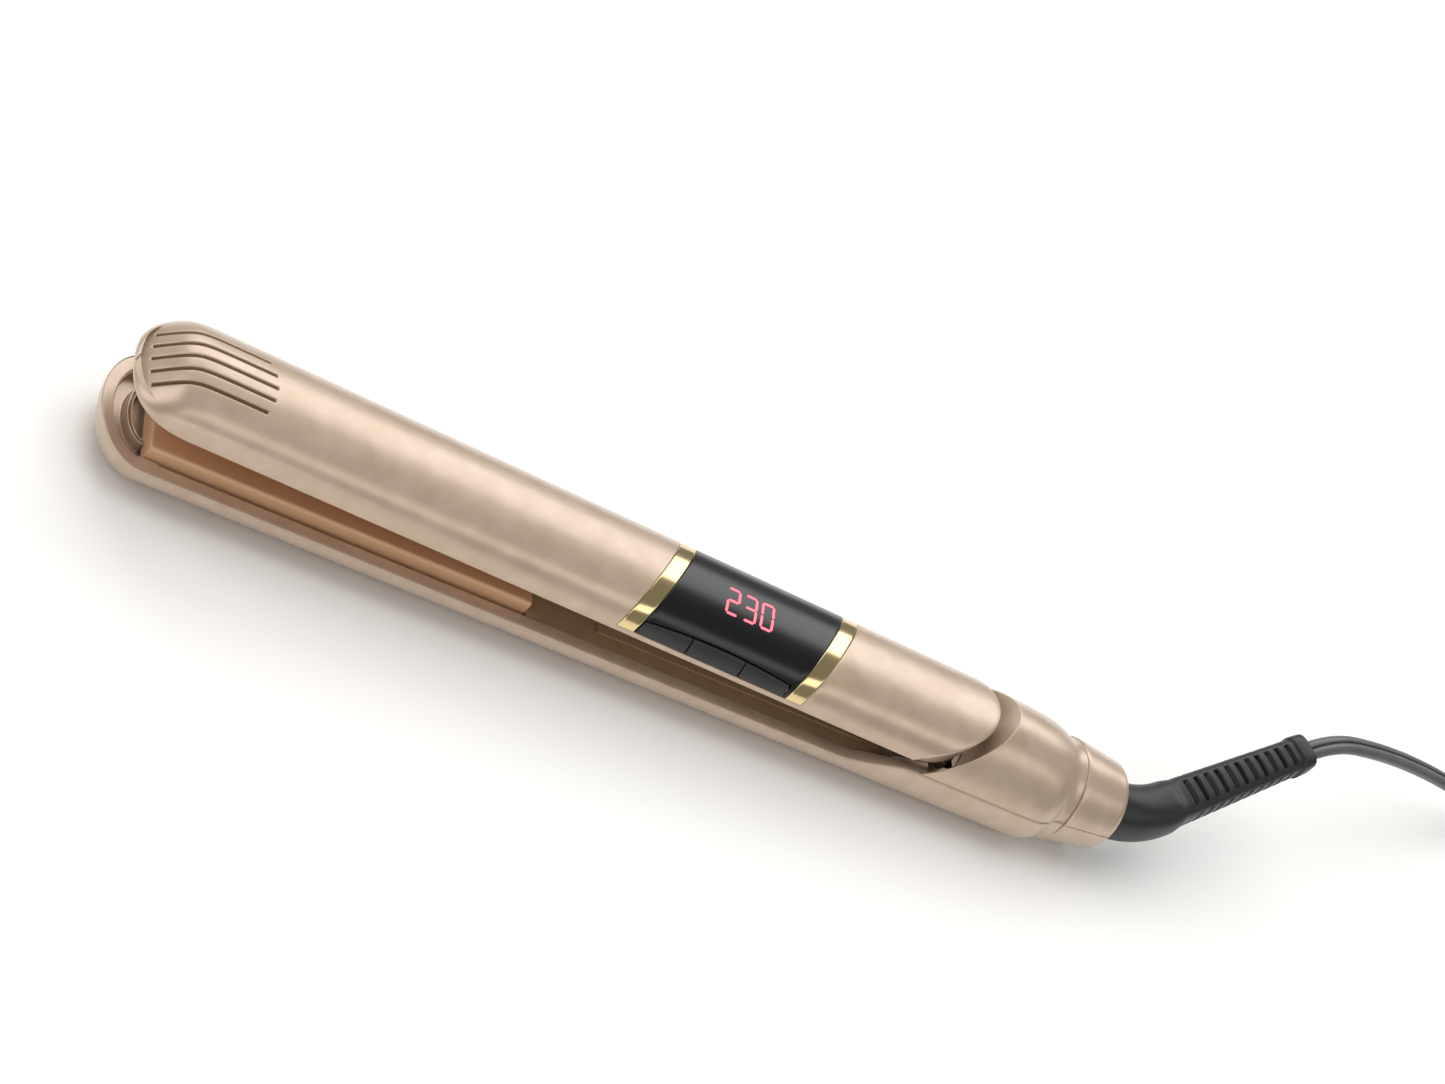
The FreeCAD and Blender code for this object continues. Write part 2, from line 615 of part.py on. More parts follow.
# ---- hinge bracket of the upper arm ------------------------------------------------------------
bracket = rod(hinge_knuckle_radius, (at(hinge_d), -hinge_knuckle_half, hinge_height), (0, 1, 0),
              2 * hinge_knuckle_half)
bracket = bracket.fuse(box(hinge_d - 8, hinge_d - 1, -hinge_knuckle_half, hinge_knuckle_half,
                           hinge_height - 1, upper_rim + upper_height - wall - 2))
bracket = bracket.fuse(box(hinge_d - 24, hinge_d - 1, -hinge_knuckle_half, hinge_knuckle_half,
                           upper_rim + 5.6, upper_rim + 7.4))
bracket = bracket.cut(rod(hinge_bush_radius, (at(hinge_d), -20, hinge_height), (0, 1, 0), 40))
save("hinge_bracket", opened(bracket))

# ---- spring that lifts the upper arm -----------------------------------------------------------
spring_radius = 3.4
spring_wire = 0.4
spring_turns = 6
spring_low = spring_seat + spring_wire
spring_high = upper_rim + (hinge_d - spring_d) * math.tan(math.radians(hinge_open_angle)) - 0.75
pitch = (spring_high - spring_low - spring_wire) / spring_turns
helix = Part.makeHelix(pitch, pitch * spring_turns, spring_radius)
start_ring = Part.Wire(Part.makeCircle(spring_wire, V(spring_radius, 0, 0), V(0, 1, 0)))
spring = Part.Wire(helix).makePipeShell([start_ring], True, True)
spring.translate(V(at(spring_d), 0, spring_low))
save("arm_spring", spring)

# ---- power board in the lower arm, and its leads -------------------------------------------------
board_z = 5.0
board_front = plate_end + 14.6
board_rear = band_rear_d - 5.0
board = box(board_front, board_rear, -9.0, 9.0, board_z, board_z + 1.4)
for d in cover_screw_ds:
    board = board.cut(rod(3.6, (at(d), 0, 0), (0, 0, 1), 40))
save("power_board", board)
parts_on_board = [box(board_front + 8, board_front + 24, -7, 1, board_z + 1.42, board_z + 4.6),
                  rod(1.7, (at(board_front + 30), -5.5, board_z + 3.14), (1, 0, 0), 11),
                  box(board_rear - 12, board_rear - 4, 1, 7.5, board_z + 1.42, board_z + 4.4)]
save("board_components", Part.makeCompound(parts_on_board))
leads = []
for side in (-1, 1):
    run = rod(0.9, (at(board_rear + 0.3), side * 6.8, board_z + 0.7), (1, 0, 0),
              hinge_d + 8.0 - board_rear)
    leads.append(run)
save("mains_leads", Part.makeCompound(leads))

# ---- cable swivel and strain relief ----------------------------------------------------------------
axis_z = collar_axis_height
barrel_start = housing_end + 3.0
barrel_end = collar_end - wall - 0.15
barrel = rod(collar_bore_radius - running_gap, (at(barrel_start), 0, axis_z), (1, 0, 0),
             barrel_end - barrel_start)
barrel = barrel.fuse(rod(5.0, (at(barrel_start - 9), 0, axis_z), (1, 0, 0), 9.1))
barrel = barrel.cut(rod(3.0, (at(barrel_start - 10), 0, axis_z), (1, 0, 0), 60))
save("swivel_barrel", barrel)
rings = []
for k in range(2):
    x0 = at(barrel_start - 7.6 + 3.6 * k)
    ring = rod(6.0, (x0, 0, axis_z), (1, 0, 0), 2.2).cut(rod(5.02, (x0 - 1, 0, axis_z), (1, 0, 0), 5))
    rings.append(ring)
save("swivel_rings", Part.makeCompound(rings))

corner = V(at(elbow_d), 0, axis_z)
turn = V(*strain_relief_turn)
turn.normalize()
across = V(0, 0, 1).cross(turn)
across.normalize()
normal = turn.cross(across)
elbow_reach = elbow_d - collar_end - 0.2
bend_in = corner - V(elbow_reach, 0, 0)
bend_out = corner + turn * elbow_reach
half_turn = V(1, 0, 0).getAngle(turn) / 2
elbow_bend = elbow_reach / math.tan(half_turn)
inward = turn - V(1, 0, 0)
inward.normalize()
elbow_middle = corner + inward * (elbow_bend / math.cos(half_turn) - elbow_bend)
path = Part.Wire([Part.LineSegment(V(at(barrel_end), 0, axis_z), bend_in).toShape(),
                  Part.Arc(bend_in, elbow_middle, bend_out).toShape()])
ring = Part.Wire(Part.makeCircle(elbow_radius, V(at(barrel_end), 0, axis_z), V(1, 0, 0)))
elbow = path.makePipeShell([ring], True, False)
cone = Part.makeCone(elbow_radius, relief_big[0] / 2 - 0.3, relief_rib_start - elbow_reach, bend_out, turn)


def octagon(x, width, height):
    """Closed wire of a rectangle with cut corners, across the strain relief's own X axis."""
    w, h = width / 2, height / 2
    cut = 0.24 * min(width, height)
    corners = [(w, h - cut), (w - cut, h), (cut - w, h), (-w, h - cut),
               (-w, cut - h), (cut - w, -h), (w - cut, -h), (w, cut - h)]
    points = [V(x, a, b) for a, b in corners]
    return Part.makePolygon(points + points[:1])


block_start = relief_length - relief_block
sleeve = loft([octagon(relief_rib_start - 0.2, *relief_big), octagon(block_start, *relief_small)], True)
block = loft([octagon(block_start - 0.1, relief_small[0] + 0.9, relief_small[1] + 0.9),
              octagon(relief_length, relief_small[0] + 0.5, relief_small[1] + 0.5)], True)
slot_pitch = (block_start - relief_rib_start) / (relief_slots + 0.5)
cuts = []
for k in range(relief_slots):
    along = relief_rib_start + (k + 0.45) * slot_pitch
    share = k / (relief_slots - 1)
    w = (relief_big[0] + (relief_small[0] - relief_big[0]) * share) / 2
    h = (relief_big[1] + (relief_small[1] - relief_big[1]) * share) / 2
    for sign in (-1, 1):
        slot_y = w * 0.62
        slot_z = h * 0.62
        low = min(sign * (h - 1.7), sign * (h + 2.0))
        cuts.append(Part.makeBox(slot_pitch * 0.46, 2 * slot_y, 3.7, V(along, -slot_y, low)))
        low = min(sign * (w - 1.3), sign * (w + 2.4))
        cuts.append(Part.makeBox(slot_pitch * 0.42, 3.7, 2 * slot_z,
                                 V(along + slot_pitch * 0.5, low, -slot_z)))
straight = sleeve.cut(Part.makeCompound(cuts)).fuse(block)
straight.Placement = FreeCAD.Placement(FreeCAD.Matrix(
    turn.x, across.x, normal.x, corner.x, turn.y, across.y, normal.y, corner.y,
    turn.z, across.z, normal.z, corner.z, 0, 0, 0, 1))
relief = elbow.fuse(cone).fuse(straight)
save("strain_relief", relief)

# ---- cable: its route, the tied hank of its spare length, and the plug ------------------------------
cable_start = corner + turn * relief_length
floor_level = cable_width / 2 + 0.02
route = [tuple(cable_start), tuple(cable_start + turn * 13.0), (at(393.5), 49.4, 27.3),
         (at(414.0), 56.0, 22.2), (at(434.0), 61.4, 16.6), (at(454.0), 65.6, 10.6),
         (at(474.0), 68.6, 5.2), (at(494.0), 70.4, floor_level), (at(511.0), 70.8, floor_level)]


def tube(points, radius):
    """Round tube along straight runs joined by tangent arcs; prints its bend radii."""
    points = [V(*p) for p in points]
    edges, radii = [], []
    here = points[0]
    for a, b, c in zip(points, points[1:], points[2:]):
        back, ahead = a - b, c - b
        shorter = min(back.Length, ahead.Length)
        back.normalize()
        ahead.normalize()
        half_turn = (math.pi - back.getAngle(ahead)) / 2
        reach = 0.45 * shorter
        bend = reach / math.tan(half_turn)
        radii.append(bend)
        start, end = b + back * reach, b + ahead * reach
        inward = back + ahead
        inward.normalize()
        centre = b + inward * (bend / math.cos(half_turn))
        middle = centre - inward * bend
        edges.append(Part.LineSegment(here, start).toShape())
        edges.append(Part.Arc(start, middle, end).toShape())
        here = end
    edges.append(Part.LineSegment(here, points[-1]).toShape())
    wire = Part.Wire(edges)
    first = points[1] - points[0]
    ring = Part.Wire(Part.makeCircle(radius, points[0], first))
    solid = wire.makePipeShell([ring], True, False)
    print("cable bend radii:", [round(r, 1) for r in radii], "length", round(wire.Length, 1),
          "volume ratio", round(solid.Volume / (math.pi * radius ** 2 * wire.Length), 4))
    return solid


cable = tube(route, cable_width / 2)
save("power_cable", cable)

hank_start = route[-1]
hank_fold = 19.1           # radius of the outer turns' folds
hank_half_run = 24.0
hank_pinch = 11.0          # the tie pulls both sides in by this much
hank_layers = 4
hank_height = hank_layers * cable_width + 0.5
lobe_radius = hank_fold + cable_width / 2 - 0.7
waist_half = hank_fold - hank_pinch + cable_width / 2 - 0.7
hank_centre = V(hank_start[0] + hank_half_run + 8.0, hank_start[1] - hank_fold, 0)
outline = [(-hank_half_run, -lobe_radius), (-hank_half_run * 0.3, -waist_half),
           (hank_half_run * 0.3, -waist_half), (hank_half_run, -lobe_radius),
           (hank_half_run, lobe_radius), (hank_half_run * 0.3, waist_half),
           (-hank_half_run * 0.3, waist_half), (-hank_half_run, lobe_radius)]
hank = prism([(hank_centre.x + x, hank_centre.y + y, 0) for x, y in outline], (0, 0, hank_height))
for side in (-1, 1):
    hank = hank.fuse(Part.makeCylinder(lobe_radius, hank_height, hank_centre + V(side * hank_half_run, 0, 0)))
save("cable_hank", hank)
tie_width = 9.0
tie_wall = 1.2
tie = Part.makeBox(tie_width, 2 * (waist_half + tie_wall), hank_height + tie_wall,
                   hank_centre + V(-tie_width / 2, -waist_half - tie_wall, 0))
tie = tie.cut(Part.makeBox(tie_width, 2 * waist_half, hank_height,
                           hank_centre + V(-tie_width / 2, -waist_half, 0)))
save("hank_tie", tie)

# ---- flat two-pin plug beside the hank, and the cable's tail into it ---------------------------------
plug_length = 37.0
plug_width = 35.3
plug_thickness = 13.7
plug_base = hank_centre + V(-30.0, -39.7, plug_thickness / 2)
pin_length = 19.0
pin_pitch = 18.6
tail = [tuple(hank_centre + V(30.0, -20.0, 19.2)), tuple(hank_centre + V(15.0, -23.5, 16.2)),
        tuple(hank_centre + V(0.0, -31.5, 10.2)), tuple(hank_centre + V(-15.0, -38.0, 7.0)), tuple(plug_base)]
save("cable_tail", tube(tail, cable_width / 2))
sections = [octagon(0, 8.0, 7.0), octagon(9, 10.0, 9.0), octagon(27, 31.0, plug_thickness),
            octagon(plug_length, plug_width, plug_thickness)]
turned_round = FreeCAD.Placement(plug_base, FreeCAD.Rotation(V(0, 0, 1), 180))
plug = loft(sections[:2], True).fuse(loft(sections[1:3], True)).fuse(loft(sections[2:], True))
plug.Placement = turned_round
save("plug_body", plug)
pins = []
for side in (-1, 1):
    start = plug_base + V(-plug_length, side * pin_pitch / 2, 0)
    pins.append(rod(2.0, start, (-1, 0, 0), pin_length))
save("plug_pins", Part.makeCompound(pins))
print("files:", len(os.listdir("parts")))
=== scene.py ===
import bmesh
import bpy
import math
import numpy as np
from mathutils import Matrix, Vector


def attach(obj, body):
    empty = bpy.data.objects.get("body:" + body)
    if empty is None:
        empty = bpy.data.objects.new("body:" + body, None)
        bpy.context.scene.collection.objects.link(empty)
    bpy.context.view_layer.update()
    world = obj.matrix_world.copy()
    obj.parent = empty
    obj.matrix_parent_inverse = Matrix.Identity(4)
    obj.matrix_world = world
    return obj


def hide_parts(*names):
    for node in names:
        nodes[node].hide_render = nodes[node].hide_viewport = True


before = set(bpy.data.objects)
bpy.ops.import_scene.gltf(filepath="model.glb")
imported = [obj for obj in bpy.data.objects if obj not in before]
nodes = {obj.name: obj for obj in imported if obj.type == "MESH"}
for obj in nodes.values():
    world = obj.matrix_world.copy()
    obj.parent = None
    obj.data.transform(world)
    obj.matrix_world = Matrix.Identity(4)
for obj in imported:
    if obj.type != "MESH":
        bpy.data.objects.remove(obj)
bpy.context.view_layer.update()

# ---- camera --------------------------------------------------------------------------------------
# Long lens, above the near side and towards the nose, rolled so that the iron runs
# down across the picture.
cam = bpy.data.objects.new("camera", bpy.data.cameras.new("camera"))
bpy.context.collection.objects.link(cam)
cam.data.lens = 83.70
cam.data.sensor_width = 36.0
right = Vector((0.8074, -0.0367, 0.5890)).normalized()
back = Vector((-0.4731, -0.6369, 0.6087))
back = (back - right * back.dot(right)).normalized()
up = back.cross(right)
turned = Matrix((right, up, back)).transposed().to_4x4()
cam.matrix_world = Matrix.Translation((-0.3765, -0.5061, 0.5305)) @ turned
cam.data.clip_start = 0.02
bpy.context.scene.camera = cam

# ---- lights and floor ----------------------------------------------------------------------------
# White sweep in a dim room. A big softbox behind the far side gives the streak along the
# crown, a smaller one over the near side lights the flank, two fill the near side and the nose,
# and the last only whitens the floor. The Standard transform keeps the white ground white.
bpy.context.scene.view_settings.view_transform = "Standard"
world = bpy.data.worlds.new("world")
bpy.context.scene.world = world
world.use_nodes = True
world.node_tree.nodes["Background"].inputs["Color"].default_value = (1.0, 0.99, 0.975, 1.0)
world.node_tree.nodes["Background"].inputs["Strength"].default_value = 0.24
for name, place, aim, size, power, mirrored in (
        ("crown_softbox", (0.20, 1.00, 0.84), (0.0, 0.0, 0.0), (2.4, 0.60), 11.0, True),
        ("flank_softbox", (0.25, -0.66, 0.74), (0.0, 0.0, 0.02), (1.8, 0.30), 2.4, True),
        ("front_fill", (-0.20, -1.15, 0.20), (0.0, 0.0, 0.02), (1.4, 0.24), 2.0, True),
        ("nose_softbox", (-1.15, 0.10, 0.62), (0.0, 0.0, 0.02), (0.7, 0.9), 4.0, True),
        ("floor_softbox", (0.05, 0.25, 1.30), (0.0, 0.0, 0.0), (1.6, 1.4), 12.0, False)):
    light = bpy.data.lights.new(name, "AREA")
    light.shape = "RECTANGLE"
    light.size, light.size_y = size
    light.energy = power
    lamp = bpy.data.objects.new(name, light)
    lamp.location = place
    lamp.rotation_euler = (Vector(place) - Vector(aim)).to_track_quat("Z", "Y").to_euler()
    lamp.visible_glossy = mirrored
    bpy.context.collection.objects.link(lamp)


def linear(code):
    """Linear colour of an sRGB hex code: each channel over 1.055 plus its toe, to the power 2.4."""
    rgb = [int(code[i:i + 2], 16) / 255 for i in (1, 3, 5)]
    return tuple(c / 12.92 if c <= 0.04045 else ((c + 0.055) / 1.055) ** 2.4 for c in rgb) + (1.0,)


def finish_of(name, colour, **sockets):
    """A material with its Principled sockets set; returns it, its tree and its shader node."""
    made = bpy.data.materials.new(name)
    made.use_nodes = True
    shader = made.node_tree.nodes["Principled BSDF"]
    shader.inputs["Base Color"].default_value = linear(colour)
    for socket, value in sockets.items():
        shader.inputs[socket.replace("_", " ")].default_value = value
    return made, made.node_tree, shader


def node(tree, kind, links=(), **settings):
    """Adds a node, sets its properties or input values, and links (output socket, input name) pairs."""
    made = tree.nodes.new(kind)
    for key, value in settings.items():
        if key in made.inputs:
            made.inputs[key].default_value = value
        else:
            setattr(made, key, value)
    for source, target in links:
        tree.links.new(source, made.inputs[target])
    return made


def grained(tree, shader, scale, low, high, bump, colours=None, stretch=(1, 1, 1)):
    """Fine surface life: noise in object space drives roughness between low and high, a slight
    bump of that height in metres and, if given, a mix of two colours."""
    place = node(tree, "ShaderNodeTexCoord").outputs["Object"]
    place = node(tree, "ShaderNodeMapping", [(place, "Vector")], Scale=stretch).outputs["Vector"]
    noise = node(tree, "ShaderNodeTexNoise", [(place, "Vector")], Scale=scale, Detail=5.0)
    span = node(tree, "ShaderNodeMapRange", [(noise.outputs["Fac"], "Value")])
    span.inputs["To Min"].default_value = low
    span.inputs["To Max"].default_value = high
    tree.links.new(span.outputs["Result"], shader.inputs["Roughness"])
    raised = node(tree, "ShaderNodeBump", [(noise.outputs["Fac"], "Height")], Distance=bump)
    tree.links.new(raised.outputs["Normal"], shader.inputs["Normal"])
    if colours:
        broad = node(tree, "ShaderNodeTexNoise", [(place, "Vector")], Scale=scale * 0.07, Detail=3.0)
        ramp = node(tree, "ShaderNodeValToRGB", [(broad.outputs["Fac"], "Fac")])
        ramp.color_ramp.elements[0].position = 0.3
        ramp.color_ramp.elements[1].position = 0.7
        ramp.color_ramp.elements[0].color = linear(colours[0])
        ramp.color_ramp.elements[1].color = linear(colours[1])
        tree.links.new(ramp.outputs["Color"], shader.inputs["Base Color"])


floor = bpy.data.meshes.new("floor")
floor.from_pydata([(-9, -9, 0), (9, -9, 0), (9, 9, 0), (-9, 9, 0)], [], [(0, 1, 2, 3)])
floor = bpy.data.objects.new("floor", floor)
bpy.context.collection.objects.link(floor)
white, tree, shader = finish_of("floor_white", "#f7f6f4", Roughness=0.6)
grained(tree, shader, 40.0, 0.55, 0.65, 0.00002)
floor.data.materials.append(white)

# ---- materials -----------------------------------------------------------------------------------
# The finishes that several pieces share. Champagne lacquer is pearl flakes under a clear coat,
# drawn coarser than they are so that they show: it gives a soft, wide streak of light. The groove
# colour is the same lacquer in shade. Pale gold is plated and polished, so it mirrors. Smoked
# gloss is dark acrylic, keys are matt ABS, the plates are satin ceramic, the tray is nylon.
champagne, tree, shader = finish_of("champagne_lacquer", "#c2aa90", Metallic=0.45, Roughness=0.36,
                                    Coat_Weight=0.7, Coat_Roughness=0.26, IOR=1.5)
grained(tree, shader, 2600.0, 0.3, 0.4, 0.000002, ("#bda58e", "#c8b29c"))
groove, tree, shader = finish_of("groove_shadow", "#8d7354", Roughness=0.6)
grained(tree, shader, 900.0, 0.6, 0.8, 0.00001)
gold, tree, shader = finish_of("pale_gold_mirror", "#e6cf9c", Metallic=1.0, Roughness=0.14)
grained(tree, shader, 1500.0, 0.11, 0.18, 0.0000008)
black, tree, shader = finish_of("smoked_gloss", "#0e0c0d", Roughness=0.24, IOR=1.5)
grained(tree, shader, 700.0, 0.21, 0.27, 0.0000004)
keys, tree, shader = finish_of("key_matt", "#242324", Roughness=0.4)
grained(tree, shader, 3000.0, 0.34, 0.46, 0.000003, ("#222122", "#2a292a"))
rose, tree, shader = finish_of("rose_ceramic_plate", "#d0a47e", Metallic=0.12, Roughness=0.4)
grained(tree, shader, 1800.0, 0.32, 0.42, 0.000001, ("#cc9f79", "#d6ab86"), (0.08, 1, 1))
tray, tree, shader = finish_of("tray_nylon", "#a98f70", Metallic=0.25, Roughness=0.42)
grained(tree, shader, 2000.0, 0.38, 0.48, 0.000003, ("#a58b6c", "#ad9474"))
rubber, tree, shader = finish_of("soft_rubber", "#1e1d1d", Roughness=0.42)
grained(tree, shader, 2500.0, 0.36, 0.5, 0.000006, ("#1b1a1a", "#242323"))
sheath, tree, shader = finish_of("cable_sheath", "#595858", Roughness=0.36)
grained(tree, shader, 1800.0, 0.3, 0.42, 0.000004, ("#545353", "#5f5e5e"))
steel, tree, shader = finish_of("plated_steel", "#b9b6b0", Metallic=1.0, Roughness=0.28)
grained(tree, shader, 1200.0, 0.22, 0.36, 0.000002)
brass, tree, shader = finish_of("plated_brass", "#d8c27c", Metallic=1.0, Roughness=0.25)
grained(tree, shader, 1200.0, 0.2, 0.32, 0.000002)
board, tree, shader = finish_of("board_green", "#1f5a35", Roughness=0.4)
grained(tree, shader, 900.0, 0.34, 0.5, 0.000004)
ceramic, tree, shader = finish_of("fired_ceramic", "#dedad0", Roughness=0.6)
grained(tree, shader, 1400.0, 0.55, 0.68, 0.000006)
silicone, tree, shader = finish_of("red_silicone", "#b5523a", Roughness=0.5)
grained(tree, shader, 1400.0, 0.45, 0.58, 0.000006)


def made_of(points, faces, name, materials, indices=None):
    """A smooth-shaded mesh object from point and quad arrays in millimetres from the nose of the
    lower arm; it is moved to the row frame, in metres."""
    points = np.asarray(points, float) * 0.001
    points[:, 0] -= 0.147
    mesh = bpy.data.meshes.new(name)
    mesh.from_pydata(points.tolist(), [], np.asarray(faces).tolist())
    mesh.polygons.foreach_set("use_smooth", np.ones(len(mesh.polygons), bool))
    for material in materials:
        mesh.materials.append(material)
    if indices is not None:
        mesh.polygons.foreach_set("material_index", np.asarray(indices, np.int32))
    welded = bmesh.new()
    welded.from_mesh(mesh)
    bmesh.ops.remove_doubles(welded, verts=welded.verts, dist=2e-6)
    welded.to_mesh(mesh)
    welded.free()
    mesh.update()
    made = bpy.data.objects.new(name, mesh)
    bpy.context.collection.objects.link(made)
    return made


def joined(name, grids, materials):
    """One object of several grids, each (points of rows x columns x 3, material index of every
    quad or one number, optional direction that its faces look in); quads join neighbours in
    rows and columns. Without a direction, they face away from the middle of their row."""
    points, faces, indices = [], [], []
    start = 0
    for grid, index, *looking in grids:
        rows, columns = grid.shape[:2]
        points.append(grid.reshape(-1, 3))
        number = np.arange(rows * columns).reshape(rows, columns) + start
        quads = np.stack([number[:-1, :-1], number[1:, :-1], number[1:, 1:], number[:-1, 1:]], -1)
        crossed = np.cross(grid[1:, 1:] - grid[:-1, :-1], grid[:-1, 1:] - grid[1:, :-1])
        away = grid[:-1, :-1] - grid.mean(1)[:-1, None] if not looking else np.array(looking[0], float)
        if (crossed * away).sum() < 0:
            quads = quads[..., ::-1]
        faces.append(quads.reshape(-1, 4))
        indices.append(np.broadcast_to(index, quads.shape[:2]).reshape(-1))
        start += rows * columns
    return made_of(np.concatenate(points), np.concatenate(faces), name, materials,
                   np.concatenate(indices))


# ---- mains cable ---------------------------------------------------------------------------------
# Flat twin flex, 5.6 mm wide, dark grey. It leaves the strain relief, sags to the surface and
# ends in a tied hank of eight turns with the plug beside it.
cable_route = [(0.2139, 0.03544, 0.02764), (0.22466, 0.04226, 0.03027), (0.2465, 0.0494, 0.0273),
               (0.2670, 0.0560, 0.0222), (0.2870, 0.0614, 0.0166), (0.3070, 0.0656, 0.0106),
               (0.3270, 0.0686, 0.0052), (0.3470, 0.0704, 0.00282), (0.3640, 0.0708, 0.00282)]
hank_x, hank_y = 0.396, 0.0517
fold_angles = [math.radians(a) for a in (78, 45, 15, -15, -45, -78)]
for turn_number in range(8):
    layer = turn_number // 2
    outer_turn = (turn_number + layer) % 2 == 0
    radius = 0.0191 if outer_turn else 0.0155
    height = 0.00282 + 0.0057 * layer
    pinch = 0.011
    if turn_number:
        cable_route += [(hank_x - 0.012, hank_y + radius - 0.8 * pinch, height)]
    cable_route += [(hank_x, hank_y + radius - pinch, height),
                    (hank_x + 0.012, hank_y + radius - 0.8 * pinch, height)]
    fold = 1.03 * radius
    cable_route += [(hank_x + 0.024 + fold * math.cos(a), hank_y + fold * math.sin(a), height)
                    for a in fold_angles]
    if turn_number < 7:
        cable_route += [(hank_x + 0.012, hank_y - radius + 0.8 * pinch, height),
                        (hank_x, hank_y - radius + pinch, height),
                        (hank_x - 0.012, hank_y - radius + 0.8 * pinch, height)]
        cable_route += [(hank_x - 0.024 - fold * math.cos(a), hank_y + fold * math.sin(a), height)
                        for a in fold_angles[::-1]]
cable_route += [(hank_x + 0.015, hank_y - 0.0235, 0.0162), (hank_x, hank_y - 0.0315, 0.0102),
                (hank_x - 0.015, hank_y - 0.0380, 0.0070), (hank_x - 0.030, hank_y - 0.0397, 0.00685)]
line = bpy.data.curves.new("cable_line", "CURVE")
line.dimensions = "3D"
spline = line.splines.new("NURBS")
spline.points.add(len(cable_route) - 1)
for point, place in zip(spline.points, cable_route):
    point.co = (*place, 1.0)
spline.order_u = 3
spline.use_endpoint_u = True
spline.resolution_u = 6
line_object = bpy.data.objects.new("cable_line", line)
bpy.context.collection.objects.link(line_object)
bpy.context.view_layer.update()
drawn = bpy.data.meshes.new_from_object(line_object.evaluated_get(bpy.context.evaluated_depsgraph_get()))
path = np.array([v.co[:] for v in drawn.vertices])
bpy.data.objects.remove(line_object)
keep = np.r_[True, np.linalg.norm(np.diff(path, axis=0), axis=1) > 1e-5]
path = path[keep]
ahead = np.gradient(path, axis=0)
ahead /= np.linalg.norm(ahead, axis=1)[:, None]
side = np.cross((0.0, 0.0, 1.0), ahead)
side /= np.linalg.norm(side, axis=1)[:, None]
above = np.cross(ahead, side)
run = np.r_[0, np.cumsum(np.linalg.norm(np.diff(path, axis=0), axis=1))]
share = np.clip((run - 0.085) / 0.07, 0, 1)
back_share = np.clip((run - run[-1] + 0.045) / 0.03, 0, 1)
twist = np.pi / 2 * (share ** 2 * (3 - 2 * share)) * (1 - back_share)
wide = side * np.cos(twist)[:, None] + above * np.sin(twist)[:, None]
thin = above * np.cos(twist)[:, None] - side * np.sin(twist)[:, None]
angles = np.radians(np.linspace(-127, 127, 13))
lobe = np.stack([0.00105 + 0.00175 * np.cos(angles), 0.00175 * np.sin(angles)], 1)
outline = np.concatenate([lobe, -lobe])
rings = path[:, None] + wide[:, None] * outline[None, :, :1] + thin[:, None] * outline[None, :, 1:]
rings = np.concatenate([rings, rings[:, :1]], 1) * 1000
rings[..., 0] += 147.0
cable = joined("mains_cable", [(rings[:, ::-1], 0)], [sheath])
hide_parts("power_cable", "cable_hank", "cable_tail")
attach(cable, "cord")
print("cable length", round(float(run[-1]), 3))

# ---- upper arm shell -----------------------------------------------------------------------------
# One lacquered moulding: a D-shaped skin with a sloping nose, five vent slots cut over the
# slope, and a strip below the inlays that joins its front to its rear.


def arm_nose(x):
    """Half width and height of the upper arm at x: a rounded plan over 16 mm, and a slope of
    45 degrees that blends into the crown as the -7 power mean of the two."""
    share = np.clip((x - 1.5) / 16.0, 0.0, 1.0)
    half = 16.0 * (1 - (1 - share) ** 2.6) ** (1 / 2.6)
    slope = np.maximum(0.5 + (x - 1.5), 0.05)
    return np.maximum(half, 0.02), (slope ** -7 + 10.7 ** -7) ** (-1 / 7)


def arm_point(x, angle, inset=0.0):
    """Point of the upper arm's section at x: half width times cosine and height times sine,
    each to the power 2 / 2.28, both shrunk by inset; the rim plane is at z 19.2."""
    half, height = arm_nose(x)
    half = np.maximum(half - inset, 0.01)
    height = np.maximum(height - inset, 0.01)
    c, s = np.cos(angle), np.sin(angle)
    y = half * np.sign(c) * np.abs(c) ** (2 / 2.28)
    return np.stack(np.broadcast_arrays(x, y, 19.2 + height * np.abs(s) ** (2 / 2.28)), -1)


def opened(points):
    """Turns points from the shut arm to its rest angle, 1.53 degrees about the pin."""
    a = math.radians(1.53)
    x, z = points[..., 0] - 236.0, points[..., 2] - 16.0
    moved = points.copy()
    moved[..., 0] = 236.0 + x * math.cos(a) + z * math.sin(a)
    moved[..., 2] = 16.0 - x * math.sin(a) + z * math.cos(a)
    return moved


def eased(distance, radius):
    """How far a rounded edge has dropped at a distance from it: a quarter circle."""
    near = np.clip(radius - distance, 0, radius)
    return radius - np.sqrt(np.maximum(radius ** 2 - near ** 2, 0))


def angle_at(height):
    """Section angle at a height above the rim, on the plain part of the arm."""
    return np.arcsin(np.clip(height / 10.7, 0, 1) ** 1.14)


slot_lines = 3.72 * np.arange(-2, 3)
slot_columns = np.array([-0.75, -0.56, -0.47, -0.40, 0.0, 0.40, 0.47, 0.56, 0.75])
centre_y = np.concatenate([c + slot_columns for c in slot_lines])
centre_y = np.unique(np.round(np.concatenate([centre_y, np.linspace(-9.6, 9.6, 21)]), 3))
outer_share = np.linspace(0, 1, 15)[1:]
plain_front = np.linspace(34, 128, 30)
front_x = np.unique(np.round(np.concatenate([
    1.5 + 16.0 * (1 - np.cos(np.linspace(0.02, np.pi / 2, 26))), np.linspace(3.4, 6.0, 22),
    np.linspace(6, 14, 30), np.linspace(29.2, 32.8, 26), np.linspace(17, 30, 8), plain_front]), 3))


